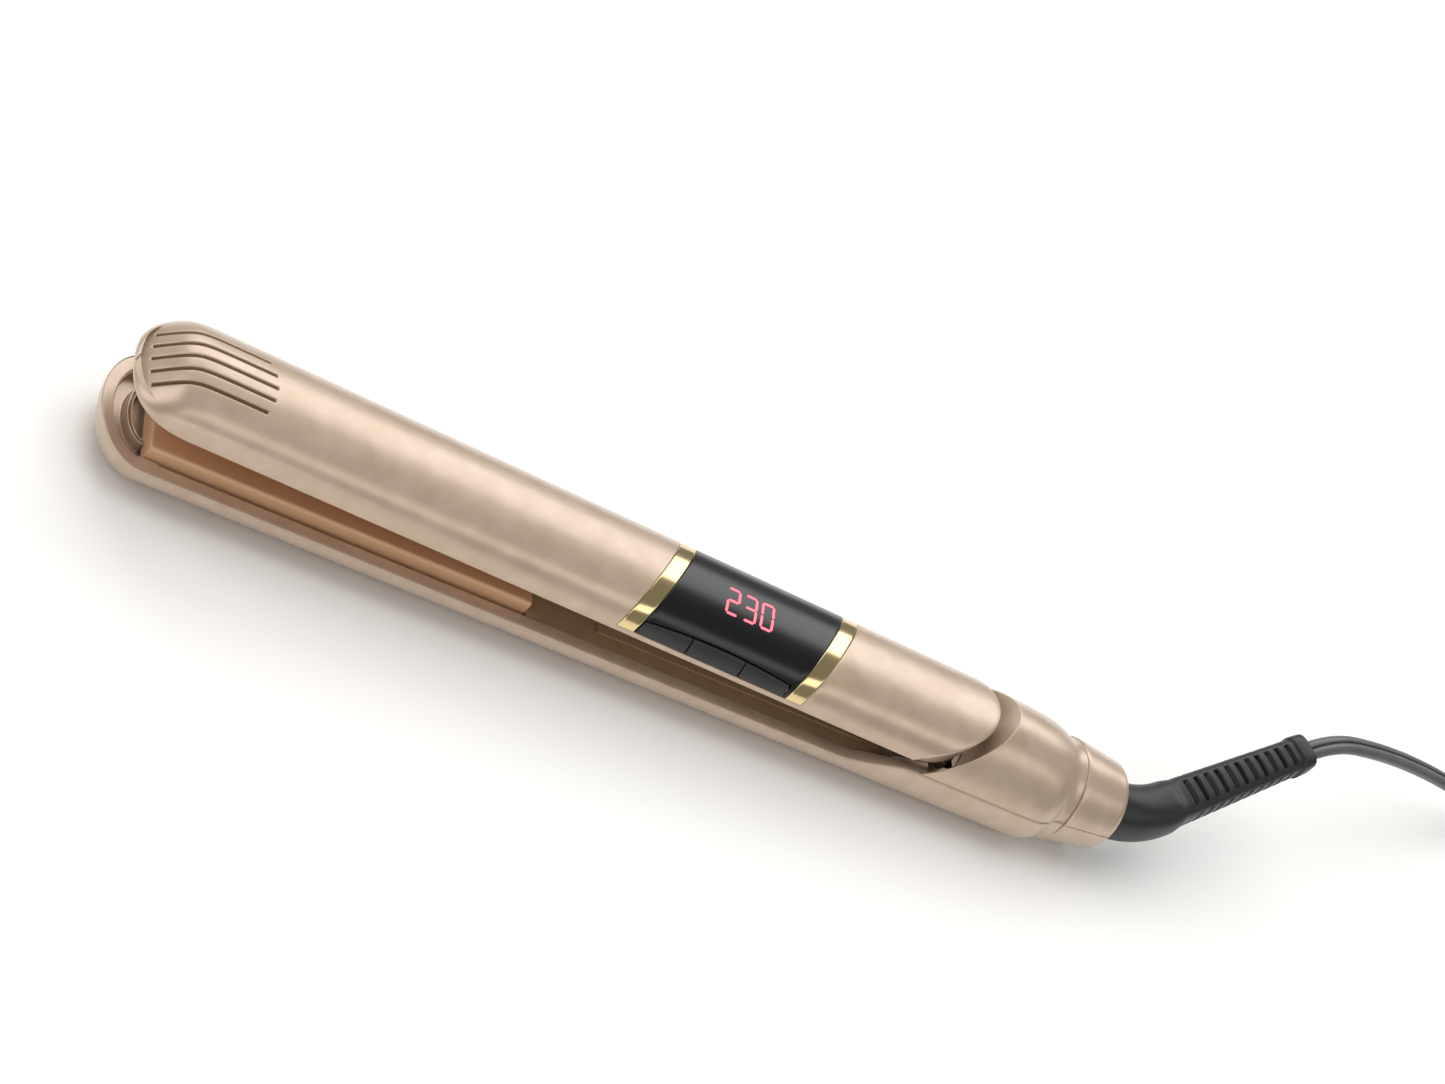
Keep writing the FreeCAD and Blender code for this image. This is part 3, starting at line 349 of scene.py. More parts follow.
def nose_rows(xs, inset=0.0):
    """Outer skin over the nose and front: columns keep their place across the arm near the
    centre line, so that the slots run straight, and share out the rest of the section."""
    rows = []
    for x in xs:
        half, height = arm_nose(np.float64(x))
        pull = min(1.0, 0.9 * half / 9.6)
        y = centre_y * pull
        top = (1 - np.abs(y / half) ** 2.28) ** (1 / 2.28)
        centre = np.arctan2(top ** 1.14, (np.abs(y) / half) ** 1.14)
        centre = np.where(y < 0, np.pi - centre, centre)
        first, last = centre[0], centre[-1]
        left = np.pi - (np.pi - first) * (1 - outer_share)
        right_side = last * (1 - outer_share)
        angle = np.concatenate([left[::-1], centre, right_side])
        rows.append(arm_point(np.full(angle.shape, x), angle, inset))
    return np.array(rows)


skin = nose_rows(front_x)
depth = np.zeros(skin.shape[:2])
for line_y in slot_lines:
    begin = 3.9 + 0.0124 * line_y ** 2
    end = 32.1 - 0.031 * line_y ** 2
    across = np.abs(skin[..., 1] - line_y)
    along = np.minimum(skin[..., 0] - begin, end - skin[..., 0])
    wall_part = np.clip((0.475 - across) / 0.07, 0, 1) * np.clip(along / 0.22, 0, 1)
    lip_part = np.clip((0.62 - across) / 0.16, 0, 1) * np.clip((along + 0.15) / 0.2, 0, 1)
    depth = np.maximum(depth, 1.75 * wall_part + 0.1 * lip_part * (1 - wall_part))
nose_normal = np.cross(np.gradient(skin, axis=0), np.gradient(skin, axis=1))
nose_normal /= np.maximum(np.linalg.norm(nose_normal, axis=-1), 1e-9)[..., None]
nose_normal *= np.sign((nose_normal * (skin - [20.0, 0.0, 15.0])).sum(-1))[..., None]
skin = skin - nose_normal * depth[..., None]
deep = depth > 1.2
slot_faces = (deep[:-1, :-1] & deep[1:, :-1] & deep[1:, 1:] & deep[:-1, 1:]).astype(int)
slot_faces |= ((depth[:-1, :-1] + depth[1:, :-1] + depth[1:, 1:] + depth[:-1, 1:]) > 2.4).astype(int)

rim_angles = np.concatenate([angle_at(np.linspace(0, 1.4, 6)), np.linspace(angle_at(1.6), np.pi / 2, 32)])
rim_angles = np.concatenate([rim_angles, np.pi - rim_angles[-2::-1]])


def slanted(edge, angle):
    """x of a line that runs aslant across the arm, 0.54 mm along for every mm across."""
    c = np.cos(angle)
    return edge + 0.54 * 16.0 * np.sign(c) * np.abs(c) ** (2 / 2.28)


def span(x0, x1, angle, steps, radius, soften=True, ends=(True, True)):
    """Strip of the arm's skin between two x lines, with rounded edges that turn down; the
    rounding fades where the shell is in one piece below the inlays."""
    edge_steps = np.array([0.0, 0.0, 0.05, 0.12, 0.22, 0.35])
    low = 10.7 * np.abs(np.sin(angle)) ** (2 / 2.28)
    keep = np.clip((low - 1.35) / 0.15, 0, 1) if soften else np.ones_like(low)
    rows = []
    front = [(e, None) for e in edge_steps] if ends[0] else [(0.0, None)]
    rear = [(None, e) for e in edge_steps[::-1]] if ends[1] else [(None, 0.0)]
    middle = [(s, s) for s in np.linspace(0, 1, steps)[1:-1]]
    for k, (a, b) in enumerate(front + middle + rear):
        if k < len(front):
            x = x0 + a
            drop = eased(a, radius) if ends[0] else 0.0
            drop = 1.6 if k == 0 and ends[0] else drop
        elif k >= len(front) + len(middle):
            x = x1 - b
            drop = eased(b, radius) if ends[1] else 0.0
            drop = 1.6 if k == len(front) + len(middle) + len(rear) - 1 and ends[1] else drop
        else:
            x = x0 + 0.35 + (x1 - x0 - 0.7) * a
            drop = 0.0
        rows.append(arm_point(x, angle, drop * keep))
    return np.array(rows)


def rim_edge(xs):
    """Rolled lower edge of the skin along both sides: round, flat, and up the inner wall."""
    shapes = [(0.0, 0.0), (0.03, -0.12), (0.16, -0.26), (0.38, -0.32), (1.62, -0.32), (1.85, -0.25),
              (2.0, 0.0), (2.0, 3.0)]
    grids = []
    for sign in (-1, 1):
        rows = []
        for x in xs:
            half, _ = arm_nose(np.float64(x))
            rows.append([(x, sign * max(half - i * min(1, half / 4), 0.01), 19.2 + h) for i, h in shapes])
        grids.append(np.array(rows))
    return grids


angle = rim_angles
front_strip_x0 = np.full(angle.shape, 128.0)
front_part = span(front_strip_x0, slanted(140.2, angle), angle, 6, 0.16, True, (False, True))


def arm_end(angle, inset=0.0):
    """x of the arm's rear end over the section: a slanted half ellipse in plan."""
    y = arm_point(np.full(np.shape(angle), 100.0), angle)[..., 1]
    return 229.0 + 0.29 * y + (17.1 - inset) * np.sqrt(np.maximum(1 - (y / 16.0) ** 2, 0))


rear_x0 = slanted(195.9, angle)
rear_part = span(rear_x0, arm_end(angle), angle, 30, 0.45, True, (True, True))
end_wall = []
for height_share in (1.0, 0.75, 0.5, 0.25, 0.0):
    top = arm_point(arm_end(angle), angle, 0.45)
    top[:, 2] = 19.2 + (top[:, 2] - 19.2) * height_share
    top[:, 0] -= 1.3 * (1 - height_share)
    end_wall.append(top)
strip_grids = []
for sign in (0, 1):
    low_angles = angle_at(np.linspace(0, 1.4, 6))
    low_angles = np.concatenate([low_angles, angle_at(np.array([1.44, 1.44]))])
    if sign:
        low_angles = np.pi - low_angles
    rows = []
    for share in np.linspace(0, 1, 24):
        x0, x1 = slanted(140.2, low_angles), slanted(195.9, low_angles)
        inset = np.r_[np.zeros(5), 0.04, 0.15, 1.5]
        rows.append(arm_point(x0 + (x1 - x0) * share, low_angles, inset))
    strip_grids.append(np.array(rows))
rim_x = np.unique(np.concatenate([front_x[front_x < 20], np.linspace(20, 224.3, 80)]))
rear_rim_x = np.linspace(224.3, 229.5, 4)
upper_grids = [(opened(skin), slot_faces), (opened(front_part), 0), (opened(rear_part), 0),
               (opened(np.array(end_wall)), 0)]
upper_grids += [(opened(g), 0) for g in strip_grids + rim_edge(rim_x) + rim_edge(rear_rim_x)]
upper = joined("upper_arm_shell", upper_grids, [champagne, groove])
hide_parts("upper_shell")
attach(upper, "upper_arm")

# ---- gold bands ----------------------------------------------------------------------------------
# Two polished pale-gold inlays that run aslant over the arm, flush with the lacquer, each with
# its own rounded edges and a shadow line either side.
inlay_angles = np.concatenate([[angle_at(1.52)] * 2, angle_at(np.array([1.56, 1.64, 1.8])),
                               np.linspace(angle_at(2.0), np.pi - angle_at(2.0), 70),
                               np.pi - angle_at(np.array([1.8, 1.64, 1.56])), [np.pi - angle_at(1.52)] * 2])
for name, first in (("gold_band_front", 140.3), ("gold_band_rear", 191.0)):
    band = span(slanted(first, inlay_angles), slanted(first + 4.8, inlay_angles), inlay_angles,
                12, 0.22, False)
    middle = np.linspace(-1, 1, len(band))[:, None]
    band[..., 2] -= 0.10 * (np.clip(middle, -1, 1) ** 2)
    band[:, 0] = band[:, 1]
    band[:, -1] = band[:, -2]
    inlay = joined(name + "_inlay", [(opened(band), 0)], [gold])
    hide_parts(name)
    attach(inlay, "upper_arm")

# ---- display window and buttons ------------------------------------------------------------------
# Smoked gloss window between the bands; its near edge arches over the three keys.


def arch_height(x, rise=0.0):
    """Top edge of the keys above the rim: 5.95 mm in the middle, falling to 5.0 at the ends."""
    return 5.95 - 0.95 * ((x - 159.15) / 22.15) ** 2 + rise


window_rows = []
edge_steps = np.array([0.0, 0.0, 0.06, 0.14, 0.24])
along_rows = [(e, 0) for e in edge_steps] + [(s, 1) for s in np.linspace(0, 1, 44)[1:-1]]
along_rows += [(e, 2) for e in edge_steps[::-1]]
for k, (value, kind) in enumerate(along_rows):
    far_edge = angle_at(1.55)
    shares = np.concatenate([[0, 0, 0.0016, 0.004, 0.008], np.linspace(0.012, 0.988, 64),
                             [0.992, 0.996, 0.9984, 1, 1]])
    across_drop = np.concatenate([[1.6, 0.24, 0.12, 0.05, 0.0], np.zeros(64), [0.0, 0.05, 0.12, 0.24, 1.6]])
    near_edge = np.pi - angle_at(6.0)
    for _ in range(4):
        x0, x1 = slanted(145.2, near_edge), slanted(190.9, near_edge)
        x = x0 + value if kind == 0 else x1 - value if kind == 2 else x0 + 0.24 + (x1 - x0 - 0.48) * value
        near_edge = np.pi - angle_at(arch_height(np.clip(x, 137.0, 181.3), 0.28))
    a = far_edge + (near_edge - far_edge) * shares
    x0, x1 = slanted(145.2, a), slanted(190.9, a)
    x = x0 + value if kind == 0 else x1 - value if kind == 2 else x0 + 0.24 + (x1 - x0 - 0.48) * value
    drop = eased(value, 0.24) if kind != 1 else 0.0
    drop = 1.6 if k in (0, len(along_rows) - 1) else drop
    window_rows.append(arm_point(x, a, np.maximum(across_drop, drop)))
corner_rows = []
for share in np.linspace(0, 1, 5):
    heights = np.linspace(1.5, 5.6, 12)
    a = np.pi - angle_at(heights)
    x1 = slanted(190.9, a)
    corner_rows.append(arm_point(181.5 + (x1 - 181.5) * share, a, 0.01))
window_grids = [(opened(np.array(window_rows)), 0), (opened(np.array(corner_rows)), 0)]
window = joined("display_window_gloss", window_grids, [black])
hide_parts("display_window")
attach(window, "upper_arm")

# Three matt keys in the arm's side, each a slightly crowned cap with rounded edges.
for key_name, body, x0, x1 in (("button_minus", "minus_key", 137.0, 151.25),
                               ("button_power", "power_key", 151.55, 167.15),
                               ("button_plus", "plus_key", 167.45, 181.3)):
    rows = []
    along = [(0.0, 1.6), (0.0, 0.3), (0.07, 0.16), (0.17, 0.06), (0.3, 0.0)]
    steps = [(x0 + e, d) for e, d in along] + [(x, 0.0) for x in np.linspace(x0 + 0.8, x1 - 0.8, 16)]
    steps += [(x1 - e, d) for e, d in along[::-1]]
    for x, drop in steps:
        low, high = 1.55, arch_height(x) - 0.04
        heights = np.concatenate([[low, low, low + 0.07, low + 0.17, low + 0.3],
                                  np.linspace(low + 0.6, high - 0.6, 12),
                                  [high - 0.3, high - 0.17, high - 0.07, high, high]])
        across = np.concatenate([[1.6, 0.3, 0.16, 0.06, 0.0], np.zeros(12), [0.0, 0.06, 0.16, 0.3, 1.6]])
        a = np.pi - angle_at(heights)
        slant_x = np.maximum(x, slanted(145.6, a)) if key_name == "button_minus" else np.full(a.shape, x)
        rows.append(arm_point(slant_x, a, np.maximum(across, drop)))
    key = joined(key_name + "_cap", [(opened(np.array(rows)), 0)], [keys])
    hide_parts(key_name)
    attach(key, body)

# ---- digits --------------------------------------------------------------------------------------
# Three red seven-segment digits seen through the window; they lean 8.7 degrees and read
# towards the cable.
digit_red, tree, shader = finish_of("digit_red", "#ff4a5c", Roughness=0.5)
shader.inputs["Emission Color"].default_value = linear("#ff7f92")
shader.inputs["Emission Strength"].default_value = 1.0
segments = {"a": (0, 2, 1, 2), "b": (1, 1, 1, 2), "c": (1, 0, 1, 1), "d": (0, 0, 1, 0), "e": (0, 0, 0, 1),
            "f": (0, 1, 0, 2), "g": (0, 1, 1, 1)}
shown = {"2": "abged", "3": "abgcd", "0": "abcdef"}
wide_digit, tall_half, stroke = 3.3, 3.8, 0.36
strokes = []
for place, digit in enumerate("230"):
    for name in shown[digit]:
        ax, ay, bx, by = segments[name]
        start = np.array([ax * wide_digit, ay * tall_half])
        along = np.array([bx * wide_digit, by * tall_half]) - start
        length = np.linalg.norm(along)
        along /= length
        run_along = np.r_[0.08, 0.08 + stroke, np.linspace(0.2, 0.8, 6) * length,
                          length - 0.08 - stroke, length - 0.08]
        half_stroke = stroke * np.r_[0.02, np.ones(8), 0.02]
        across = np.array([-along[1], along[0]])
        sideways = half_stroke[:, None, None] * across * np.array([-1, 0, 1])[:, None]
        flat = start + run_along[:, None, None] * along + sideways
        y = -5.7 + flat[..., 1]
        x = 157.9 + place * 5.2 + flat[..., 0] + 0.153 * flat[..., 1]
        crown = 10.7 * (1 - (np.abs(y) / 16.0) ** 2.28) ** (1 / 2.28)
        strokes.append((opened(np.stack([x, y, 19.2 + crown + 0.03], -1)), 0, (0, 0, 1)))
digits = joined("temperature_digits", strokes, [digit_red])
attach(digits, "upper_arm")

# ---- lower shell ---------------------------------------------------------------------------------
# Tray with a flat rim, a rounded belly cut flat where it rests, and a rear that sweeps up to
# the seam of the housing. One lacquered moulding.


def curve_through(x, xs, ys):
    """Smooth curve through points: cubic pieces with the mean of the slopes either side."""
    xs, ys = np.array(xs, float), np.array(ys, float)
    steps = np.diff(ys) / np.diff(xs)
    slope = np.zeros(len(xs))
    same = steps[:-1] * steps[1:] > 0
    slope[1:-1] = np.where(same, 2 * steps[:-1] * steps[1:] / np.where(same, steps[:-1] + steps[1:], 1), 0)
    k = np.clip(np.searchsorted(xs, x) - 1, 0, len(xs) - 2)
    h = xs[k + 1] - xs[k]
    t = np.clip((x - xs[k]) / h, 0, 1)
    return ((1 + 2 * t) * (1 - t) ** 2 * ys[k] + t * (1 - t) ** 2 * h * slope[k]
            + t ** 2 * (3 - 2 * t) * ys[k + 1] + t ** 2 * (t - 1) * h * slope[k + 1])


def housing_size(x):
    """Half width, depth below and rise above the rim level of the rear housing at x."""
    stations = [0, 246, 257, 264, 268, 271.5, 274, 275.5, 277.2]
    half = curve_through(x, stations, [17, 17, 16.98, 16.95, 16.9, 15.9, 14.3, 13.9, 13.9])
    deep = curve_through(x, stations, [12.2, 12.2, 12.2, 12.2, 12.18, 12.0, 11.8, 11.7, 11.7])
    rise = curve_through(x, stations, [20, 20, 19.4, 18.6, 17.9, 17.0, 16.3, 16.1, 16.1])
    return half, deep, rise


def edge_height(x):
    """Height of the shell's edge: rim level, then an S-curve up to the seam."""
    t = np.clip((x - 207.0) / 21.0, 0, 1)
    return 11.8 + (16.15 - 11.8) * t ** 2 * (3 - 2 * t)


def side_profile(x, inset=0.0):
    """From the edge down the outside and under the belly to the centre line, at x: the upper
    ellipse above the rim level, the lower one below; cut flat at z 0."""
    half, deep, rise = housing_size(x)
    top = edge_height(x)
    rows = []
    upper_share = np.linspace(1, 0, 7)
    for share in upper_share:
        z = 11.8 + (top - 0.3 - 11.8) * share
        z = max(z, 11.8 - 0.3 * share)
        y = half * np.sqrt(max(1 - (max(z - 11.8, 0) / rise) ** 2, 0))
        y = y * np.sqrt(max(1 - (max(11.8 - z, 0) / deep) ** 2, 0))
        rows.append((y, z))
    for phi in np.radians(np.concatenate([np.linspace(2.5, 75, 26), np.linspace(76.5, 90, 6)])):
        rows.append((half * math.cos(phi), max(11.8 - deep * math.sin(phi), 0.0)))
    return rows


def rim_profile(x):
    """Inner wall, inner edge, flat rim and rounded outer edge of the tray at x."""
    half, deep, rise = housing_size(x)
    top = edge_height(x)
    outer = half * math.sqrt(1 - (max(top - 11.8, 0) / rise) ** 2)
    wide_rim = 3.7 - 1.55 * np.clip((x - 216) / 14, 0, 1)
    inner = outer - wide_rim
    floor_z = 7.6 if x < 113.5 else 9.8
    return [(inner, floor_z), (inner, top - 0.5), (inner + 0.05, top - 0.2), (inner + 0.2, top - 0.05),
            (inner + 0.45, top), (outer - 0.62, top), (outer - 0.3, top - 0.05), (outer - 0.1, top - 0.15)]


straight_x = np.unique(np.concatenate([
    np.linspace(12.5, 18, 16), np.linspace(18, 204, 94), np.linspace(204, 232, 40),
    np.linspace(232, 266, 24), np.linspace(266, 277.2, 34)]))
base = np.array(rim_profile(18.0) + side_profile(18.0))
turn_angles = np.linspace(0, np.pi, 61)
nose_loop = []
for a in turn_angles:
    c, s = math.cos(a), math.sin(a)
    reach = np.where(np.arange(len(base)) < 8, 11.4 - 0.8 * (17.0 - base[:, 0]), 11.4 / 17.0 * base[:, 0])
    nose_loop.append(np.stack([12.5 - reach * s, -base[:, 0] * c, base[:, 1]], -1))
nose_loop = np.array(nose_loop)
near_side, far_side = [], []
for x in straight_x:
    profile = np.array(rim_profile(x) + side_profile(x))
    near_side.append(np.stack([np.full(len(profile), x), -profile[:, 0], profile[:, 1]], -1))
    far_side.append(np.stack([np.full(len(profile), x), profile[:, 0], profile[:, 1]], -1))
near_side, far_side = np.array(near_side), np.array(far_side)
loop = np.concatenate([near_side[::-1], nose_loop[1:-1], far_side])
# the rim is a little wider beside the plate's front corner, and steps back behind it
wider = np.clip((loop[..., 0] - 10.4) / 1.6, 0, 1) * np.clip((16.4 - loop[..., 0]) / 0.5, 0, 1)
wider = wider * (np.arange(loop.shape[1]) < 5) * (np.abs(loop[..., 1]) > 9)
loop[..., 1] -= np.sign(loop[..., 1]) * 0.6 * wider


def nose_pocket(inward):
    """Height of the tray's nose inside the rim: a crescent pocket, a thin double ridge, and
    a second pocket up to the plate."""
    steps = [3.6, 3.95, 4.1, 7.5, 7.9, 8.15, 8.5, 8.75, 9.05, 9.3, 9.6, 9.85, 10.2, 14]
    levels = [11.3, 11.2, 8.6, 8.5, 8.7, 11.3, 11.35, 10.2, 10.2, 11.35, 11.3, 9.0, 8.2, 8.2]
    return curve_through(inward, steps, levels)


pocket_rows = []
for inward in np.unique(np.concatenate([np.linspace(3.66, 4.3, 7), np.linspace(4.3, 7.6, 5),
                                        np.linspace(7.6, 10.4, 34), np.linspace(10.4, 11.4, 3)])):
    reach = 11.4 - 0.8 * inward
    limit = math.acos(min(1.0, 0.5 / reach))
    a = np.pi / 2 + np.linspace(-limit, limit, 61)
    x = 12.5 - reach * np.sin(a)
    y = -(17.0 - inward) * np.cos(a)
    pocket_rows.append(np.stack([x, y, np.full(61, nose_pocket(inward))], -1))
well_rows = []
for y in np.linspace(-13.4, 13.4, 9):
    well_rows.append([(x, y, 8.4) for x in (8.0, 10.0, 12.6, 16.0)])


def ledge_height(x):
    """Height of the closed floor beside and below the hinge: a smooth rise to the rear."""
    return float(curve_through(x, [214, 222, 232, 256], [9.9, 11.2, 13.0, 13.4]))


ledge_y = 13.4
hinge_clear_y = 8.4
ledge_grids = []
for side_sign in (-1, 1):
    floor_strip, baffle = [], []
    for x in np.linspace(214.0, 258.0, 23):
        half, _, rise = housing_size(x)
        z = ledge_height(x)
        raised = curve_through(x, [214, 218, 222, 231, 234, 258], [0, 0, 4.4, 4.4, 0, 0])
        floor_strip.append([(x, side_sign * y, z) for y in np.linspace(ledge_y, half - 0.6, 5)])
        baffle.append([(x, side_sign * ledge_y, z), (x, side_sign * ledge_y, z + raised)])
    ledge_grids += [(np.array(floor_strip), (0, 0, 1)), (np.array(baffle), (0, side_sign, 0))]
for x_low, x_high, y_low, y_high in ((214.0, 229.0, -ledge_y, ledge_y),
                                     (243.0, 258.0, -ledge_y, ledge_y),
                                     (229.0, 243.0, -ledge_y, -hinge_clear_y),
                                     (229.0, 243.0, hinge_clear_y, ledge_y)):
    web = [[(x, y, ledge_height(x)) for y in np.linspace(y_low, y_high, 5)]
           for x in np.linspace(x_low, x_high, 8)]
    ledge_grids.append((np.array(web), (0, 0, 1)))
cap_rows = []
for share in (1.0, 0.97, 0.7):
    ring = near_side[-1][8:]
    cap = np.concatenate([ring, far_side[-1][8:][::-1]])
    centre = np.array([0, 0, 12.0])
    cap = cap.copy()
    cap[:, 1:] = centre[1:] + (cap[:, 1:] - centre[1:]) * share
    cap_rows.append(cap)
lower_grids = [(loop, 0), (np.array(pocket_rows), 0, (0, 0, 1)), (np.array(well_rows), 0, (0, 0, 1)),
               (np.array(cap_rows), 0, (1, 0, 0))]
lower_grids += [(ledge, 0, facing) for ledge, facing in ledge_grids]
lower = joined("lower_arm_shell", lower_grids, [champagne])
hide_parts("lower_shell")
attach(lower, "handle")

# ---- rear housing, upper half --------------------------------------------------------------------
# Lacquered dome over the hinge. Its front is scooped to a cove that follows the arm's end and
# opens towards the top, so that the arm can swing.


def cove_gap(z):
    """Gap between the arm's end and the cove at height z."""
    return curve_through(z, [14, 18, 22, 25, 28, 30.4, 34], [0.9, 1.7, 2.6, 3.4, 4.2, 4.8, 5.6])


def cove_x(y, z):
    """x of the cove over a point of the plan, for a wall point at height z."""
    gap = cove_gap(z)
    return 229.0 + 0.29 * y + (17.1 + gap) * np.sqrt(np.maximum(1 - (y / (16.0 + gap)) ** 2, 0))


def dome_section(x, phi, inset=0.0):
    """Point of the dome's half ellipse at x and angle phi."""
    half, _, rise = housing_size(x)
    y, z = (half - inset) * np.cos(phi), 11.8 + (rise - inset) * np.sin(phi)
    return np.stack(np.broadcast_arrays(x, y, z), -1)


phi_low = math.asin(4.45 / 20.0)
phis = np.concatenate([[phi_low, phi_low, phi_low + 0.006, phi_low + 0.014],
                       np.linspace(phi_low + 0.03, np.pi - phi_low - 0.03, 84),
                       [np.pi - phi_low - 0.014, np.pi - phi_low - 0.006, np.pi - phi_low, np.pi - phi_low]])
seam_drop = np.concatenate([[1.5, 0.16, 0.06, 0.01], np.zeros(84), [0.01, 0.06, 0.16, 1.5]])
edge = dome_section(np.full(phis.shape, 240.0), phis)
lead = cove_x(edge[:, 1], edge[:, 2])
rows = []
for step, drop in ((0.0, 0.4), (0.06, 0.2), (0.15, 0.08), (0.28, 0.015), (0.42, 0.0)):
    rows.append(dome_section(lead + step, phis, np.maximum(drop, seam_drop)))
for share in np.concatenate([np.linspace(0.02, 0.72, 22), np.linspace(0.74, 0.995, 34)]):
    rows.append(dome_section(lead + 0.42 + (277.2 - lead - 0.42) * share, phis, seam_drop))
rows.append(dome_section(np.full(phis.shape, 277.2), phis, np.maximum(0.06, seam_drop)))
rows.append(dome_section(np.full(phis.shape, 277.2), phis, 2.5))
dome = np.array(rows)
seam_z = 16.25
dome[:, :, 2] = np.maximum(dome[:, :, 2], seam_z)
wall_rows = []
start = dome[0]
sine = np.clip(start[:, 1] / (16.0 + cove_gap(start[:, 2])), -1, 1)
for share in np.concatenate([[0.0, 0.02], np.linspace(0.06, 1.0, 18)]):
    z = start[:, 2] + (14.0 - start[:, 2]) * share
    gap = cove_gap(z)
    y = (16.0 + gap) * sine
    x = 229.0 + 0.29 * y + (17.1 + gap) * np.sqrt(np.maximum(1 - sine ** 2, 0))
    blend = np.exp(-share * 60)
    wall_rows.append(np.stack([x * (1 - blend) + start[:, 0] * blend, y, z], -1))
dome_piece = joined("rear_housing_dome", [(dome, 0), (np.array(wall_rows), 0, (-1, 0, 0))], [champagne])
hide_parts("rear_housing_upper")
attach(dome_piece, "handle")

# ---- collar --------------------------------------------------------------------------------------
# Two half rings, tapered and rounded at the end, which hold the swivel; seam level with the housing's.
ring_profile = [(277.35, 11.0), (277.35, 13.75), (277.45, 13.92), (277.65, 14.0)]
ring_profile += [(x, 14.0 - 1.5 * ((x - 277.65) / 12.9) ** 1.15) for x in np.linspace(279, 290.4, 12)]
ring_profile += [(291.0 + 3.0 * math.sin(t), 9.45 + 3.0 * math.cos(t)) for t in np.linspace(0.1, 1.5, 12)]
ring_profile += [(294.0, 9.2), (293.95, 8.3), (293.7, 8.1), (293.2, 8.05), (289.5, 8.05)]
ring_profile = np.array(ring_profile)
for name, sign in (("collar_upper", 1), ("collar_lower", -1)):
    grid = []
    for x, radius in ring_profile:
        cut = math.asin(min(1.0, 2.25 / radius)) if sign > 0 else math.asin(min(1.0, 2.15 / radius))
        first, last = (cut, np.pi - cut) if sign > 0 else (np.pi - cut, 2 * np.pi + cut)
        tiny = 0.14 / radius
        spread = np.concatenate([[first, first, first + tiny * 0.4, first + tiny],
                                 np.linspace(first + 2.2 * tiny, last - 2.2 * tiny, 48),
                                 [last - tiny, last - tiny * 0.4, last, last]])
        sunk = np.concatenate([[1.2, 0.14, 0.05, 0.0], np.zeros(48), [0.0, 0.05, 0.14, 1.2]])
        r = radius - sunk
        grid.append(np.stack([np.full(r.shape, x), r * np.cos(spread), 14.0 + r * np.sin(spread)], -1))
    half_ring = joined(name + "_ring", [(np.array(grid), 0)], [champagne])
    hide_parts(name)
    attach(half_ring, "handle")

# ---- heated plates -------------------------------------------------------------------------------
# Extruded aluminium with a satin rose-gold ceramic coat: flat face, rounded long edges, and
# a small round on the ends.
for name, body, face_z, sign in (("lower_plate", "lower_plate_unit", 15.35, 1),
                                 ("upper_plate", "upper_plate_unit", 15.65, -1)):
    section = [(-12.45, -5.2), (-12.45, -0.9)]
    section += [(-12.45 + 0.9 * (1 - math.cos(t)), -0.9 + 0.9 * math.sin(t))
                for t in np.linspace(0.15, np.pi / 2, 9)]
    section += [(y, 0.0) for y in np.linspace(-9, 0, 5)]
    section = np.array(section + [(-y, z) for y, z in section[-2::-1]])
    ends = [(0.0, 1.2), (0.0, 0.32), (0.09, 0.13), (0.25, 0.0)]
    steps = [(12.4 + e, d) for e, d in ends] + [(x, 0.0) for x in np.linspace(14, 112, 30)]
    steps += [(113.4 - e, d) for e, d in ends[::-1]]
    grid = []
    for k, (x, drop) in enumerate(steps):
        ring = section.copy()
        if k in (0, len(steps) - 1):
            ring[:, 1] = -5.2
        else:
            ring[:, 1] = np.minimum(ring[:, 1], ring[:, 1] - drop * (ring[:, 1] > -2))
        grid.append(np.stack([np.full(len(ring), x), ring[:, 0], face_z + sign * ring[:, 1]], -1))
    grid = np.array(grid)
    plate = joined(name + "_face", [(opened(grid) if sign < 0 else grid, 0)], [rose])
    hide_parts(name)
    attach(plate, body)

# ---- strain relief -------------------------------------------------------------------------------
# Soft rubber elbow and tapered sleeve with a ladder of slots on top and below, notches
# between them on the flanks, and a plain block at its end.
corner = np.array([305.0, 0.0, 14.0])
turn = np.array([0.828, 0.525, 0.202])
turn /= np.linalg.norm(turn)
elbow_reach = 10.8
sleeve_start, sleeve_end, slot_count = 15.5, 62.5, 11.5
stations = []
for t in np.linspace(0, 1, 22):
    a = corner - [elbow_reach, 0, 0]
    b = corner + turn * elbow_reach
    place = (1 - t) ** 2 * a + 2 * t * (1 - t) * corner + t ** 2 * b
    going = (1 - t) * (corner - a) + t * (b - corner)
    stations.append((place, going, 7.9 - 0.9 * t, 7.9 - 1.15 * t, 2.0 + 0.5 * t, 0))
for k, along in enumerate(np.linspace(11.4, 15.3, 6)):
    t = (k + 1) / 6
    soft = t * t * (3 - 2 * t)
    stations.append((corner + turn * along, turn, 7.0 - 0.9 * soft, 6.75 - 1.05 * soft, 2.5 + 1.1 * soft, 0))
pitch = (sleeve_end - sleeve_start) / slot_count
for along in np.arange(sleeve_start + 0.1, sleeve_end - 0.2, 0.19):
    share = (along - sleeve_start) / (sleeve_end - sleeve_start)
    stations.append((corner + turn * along, turn, 6.1 - 1.2 * share, 5.7 - 1.3 * share, 3.6, 1))
for along, grow in ((62.35, 0.0), (62.4, 0.3), (62.5, 0.42), (62.8, 0.45),
                    (66.6, 0.28), (67.0, 0.2), (67.35, 0.0), (67.5, -0.3)):
    stations.append((corner + turn * along, turn, 4.9 + grow, 4.4 + grow, 3.6, 0))
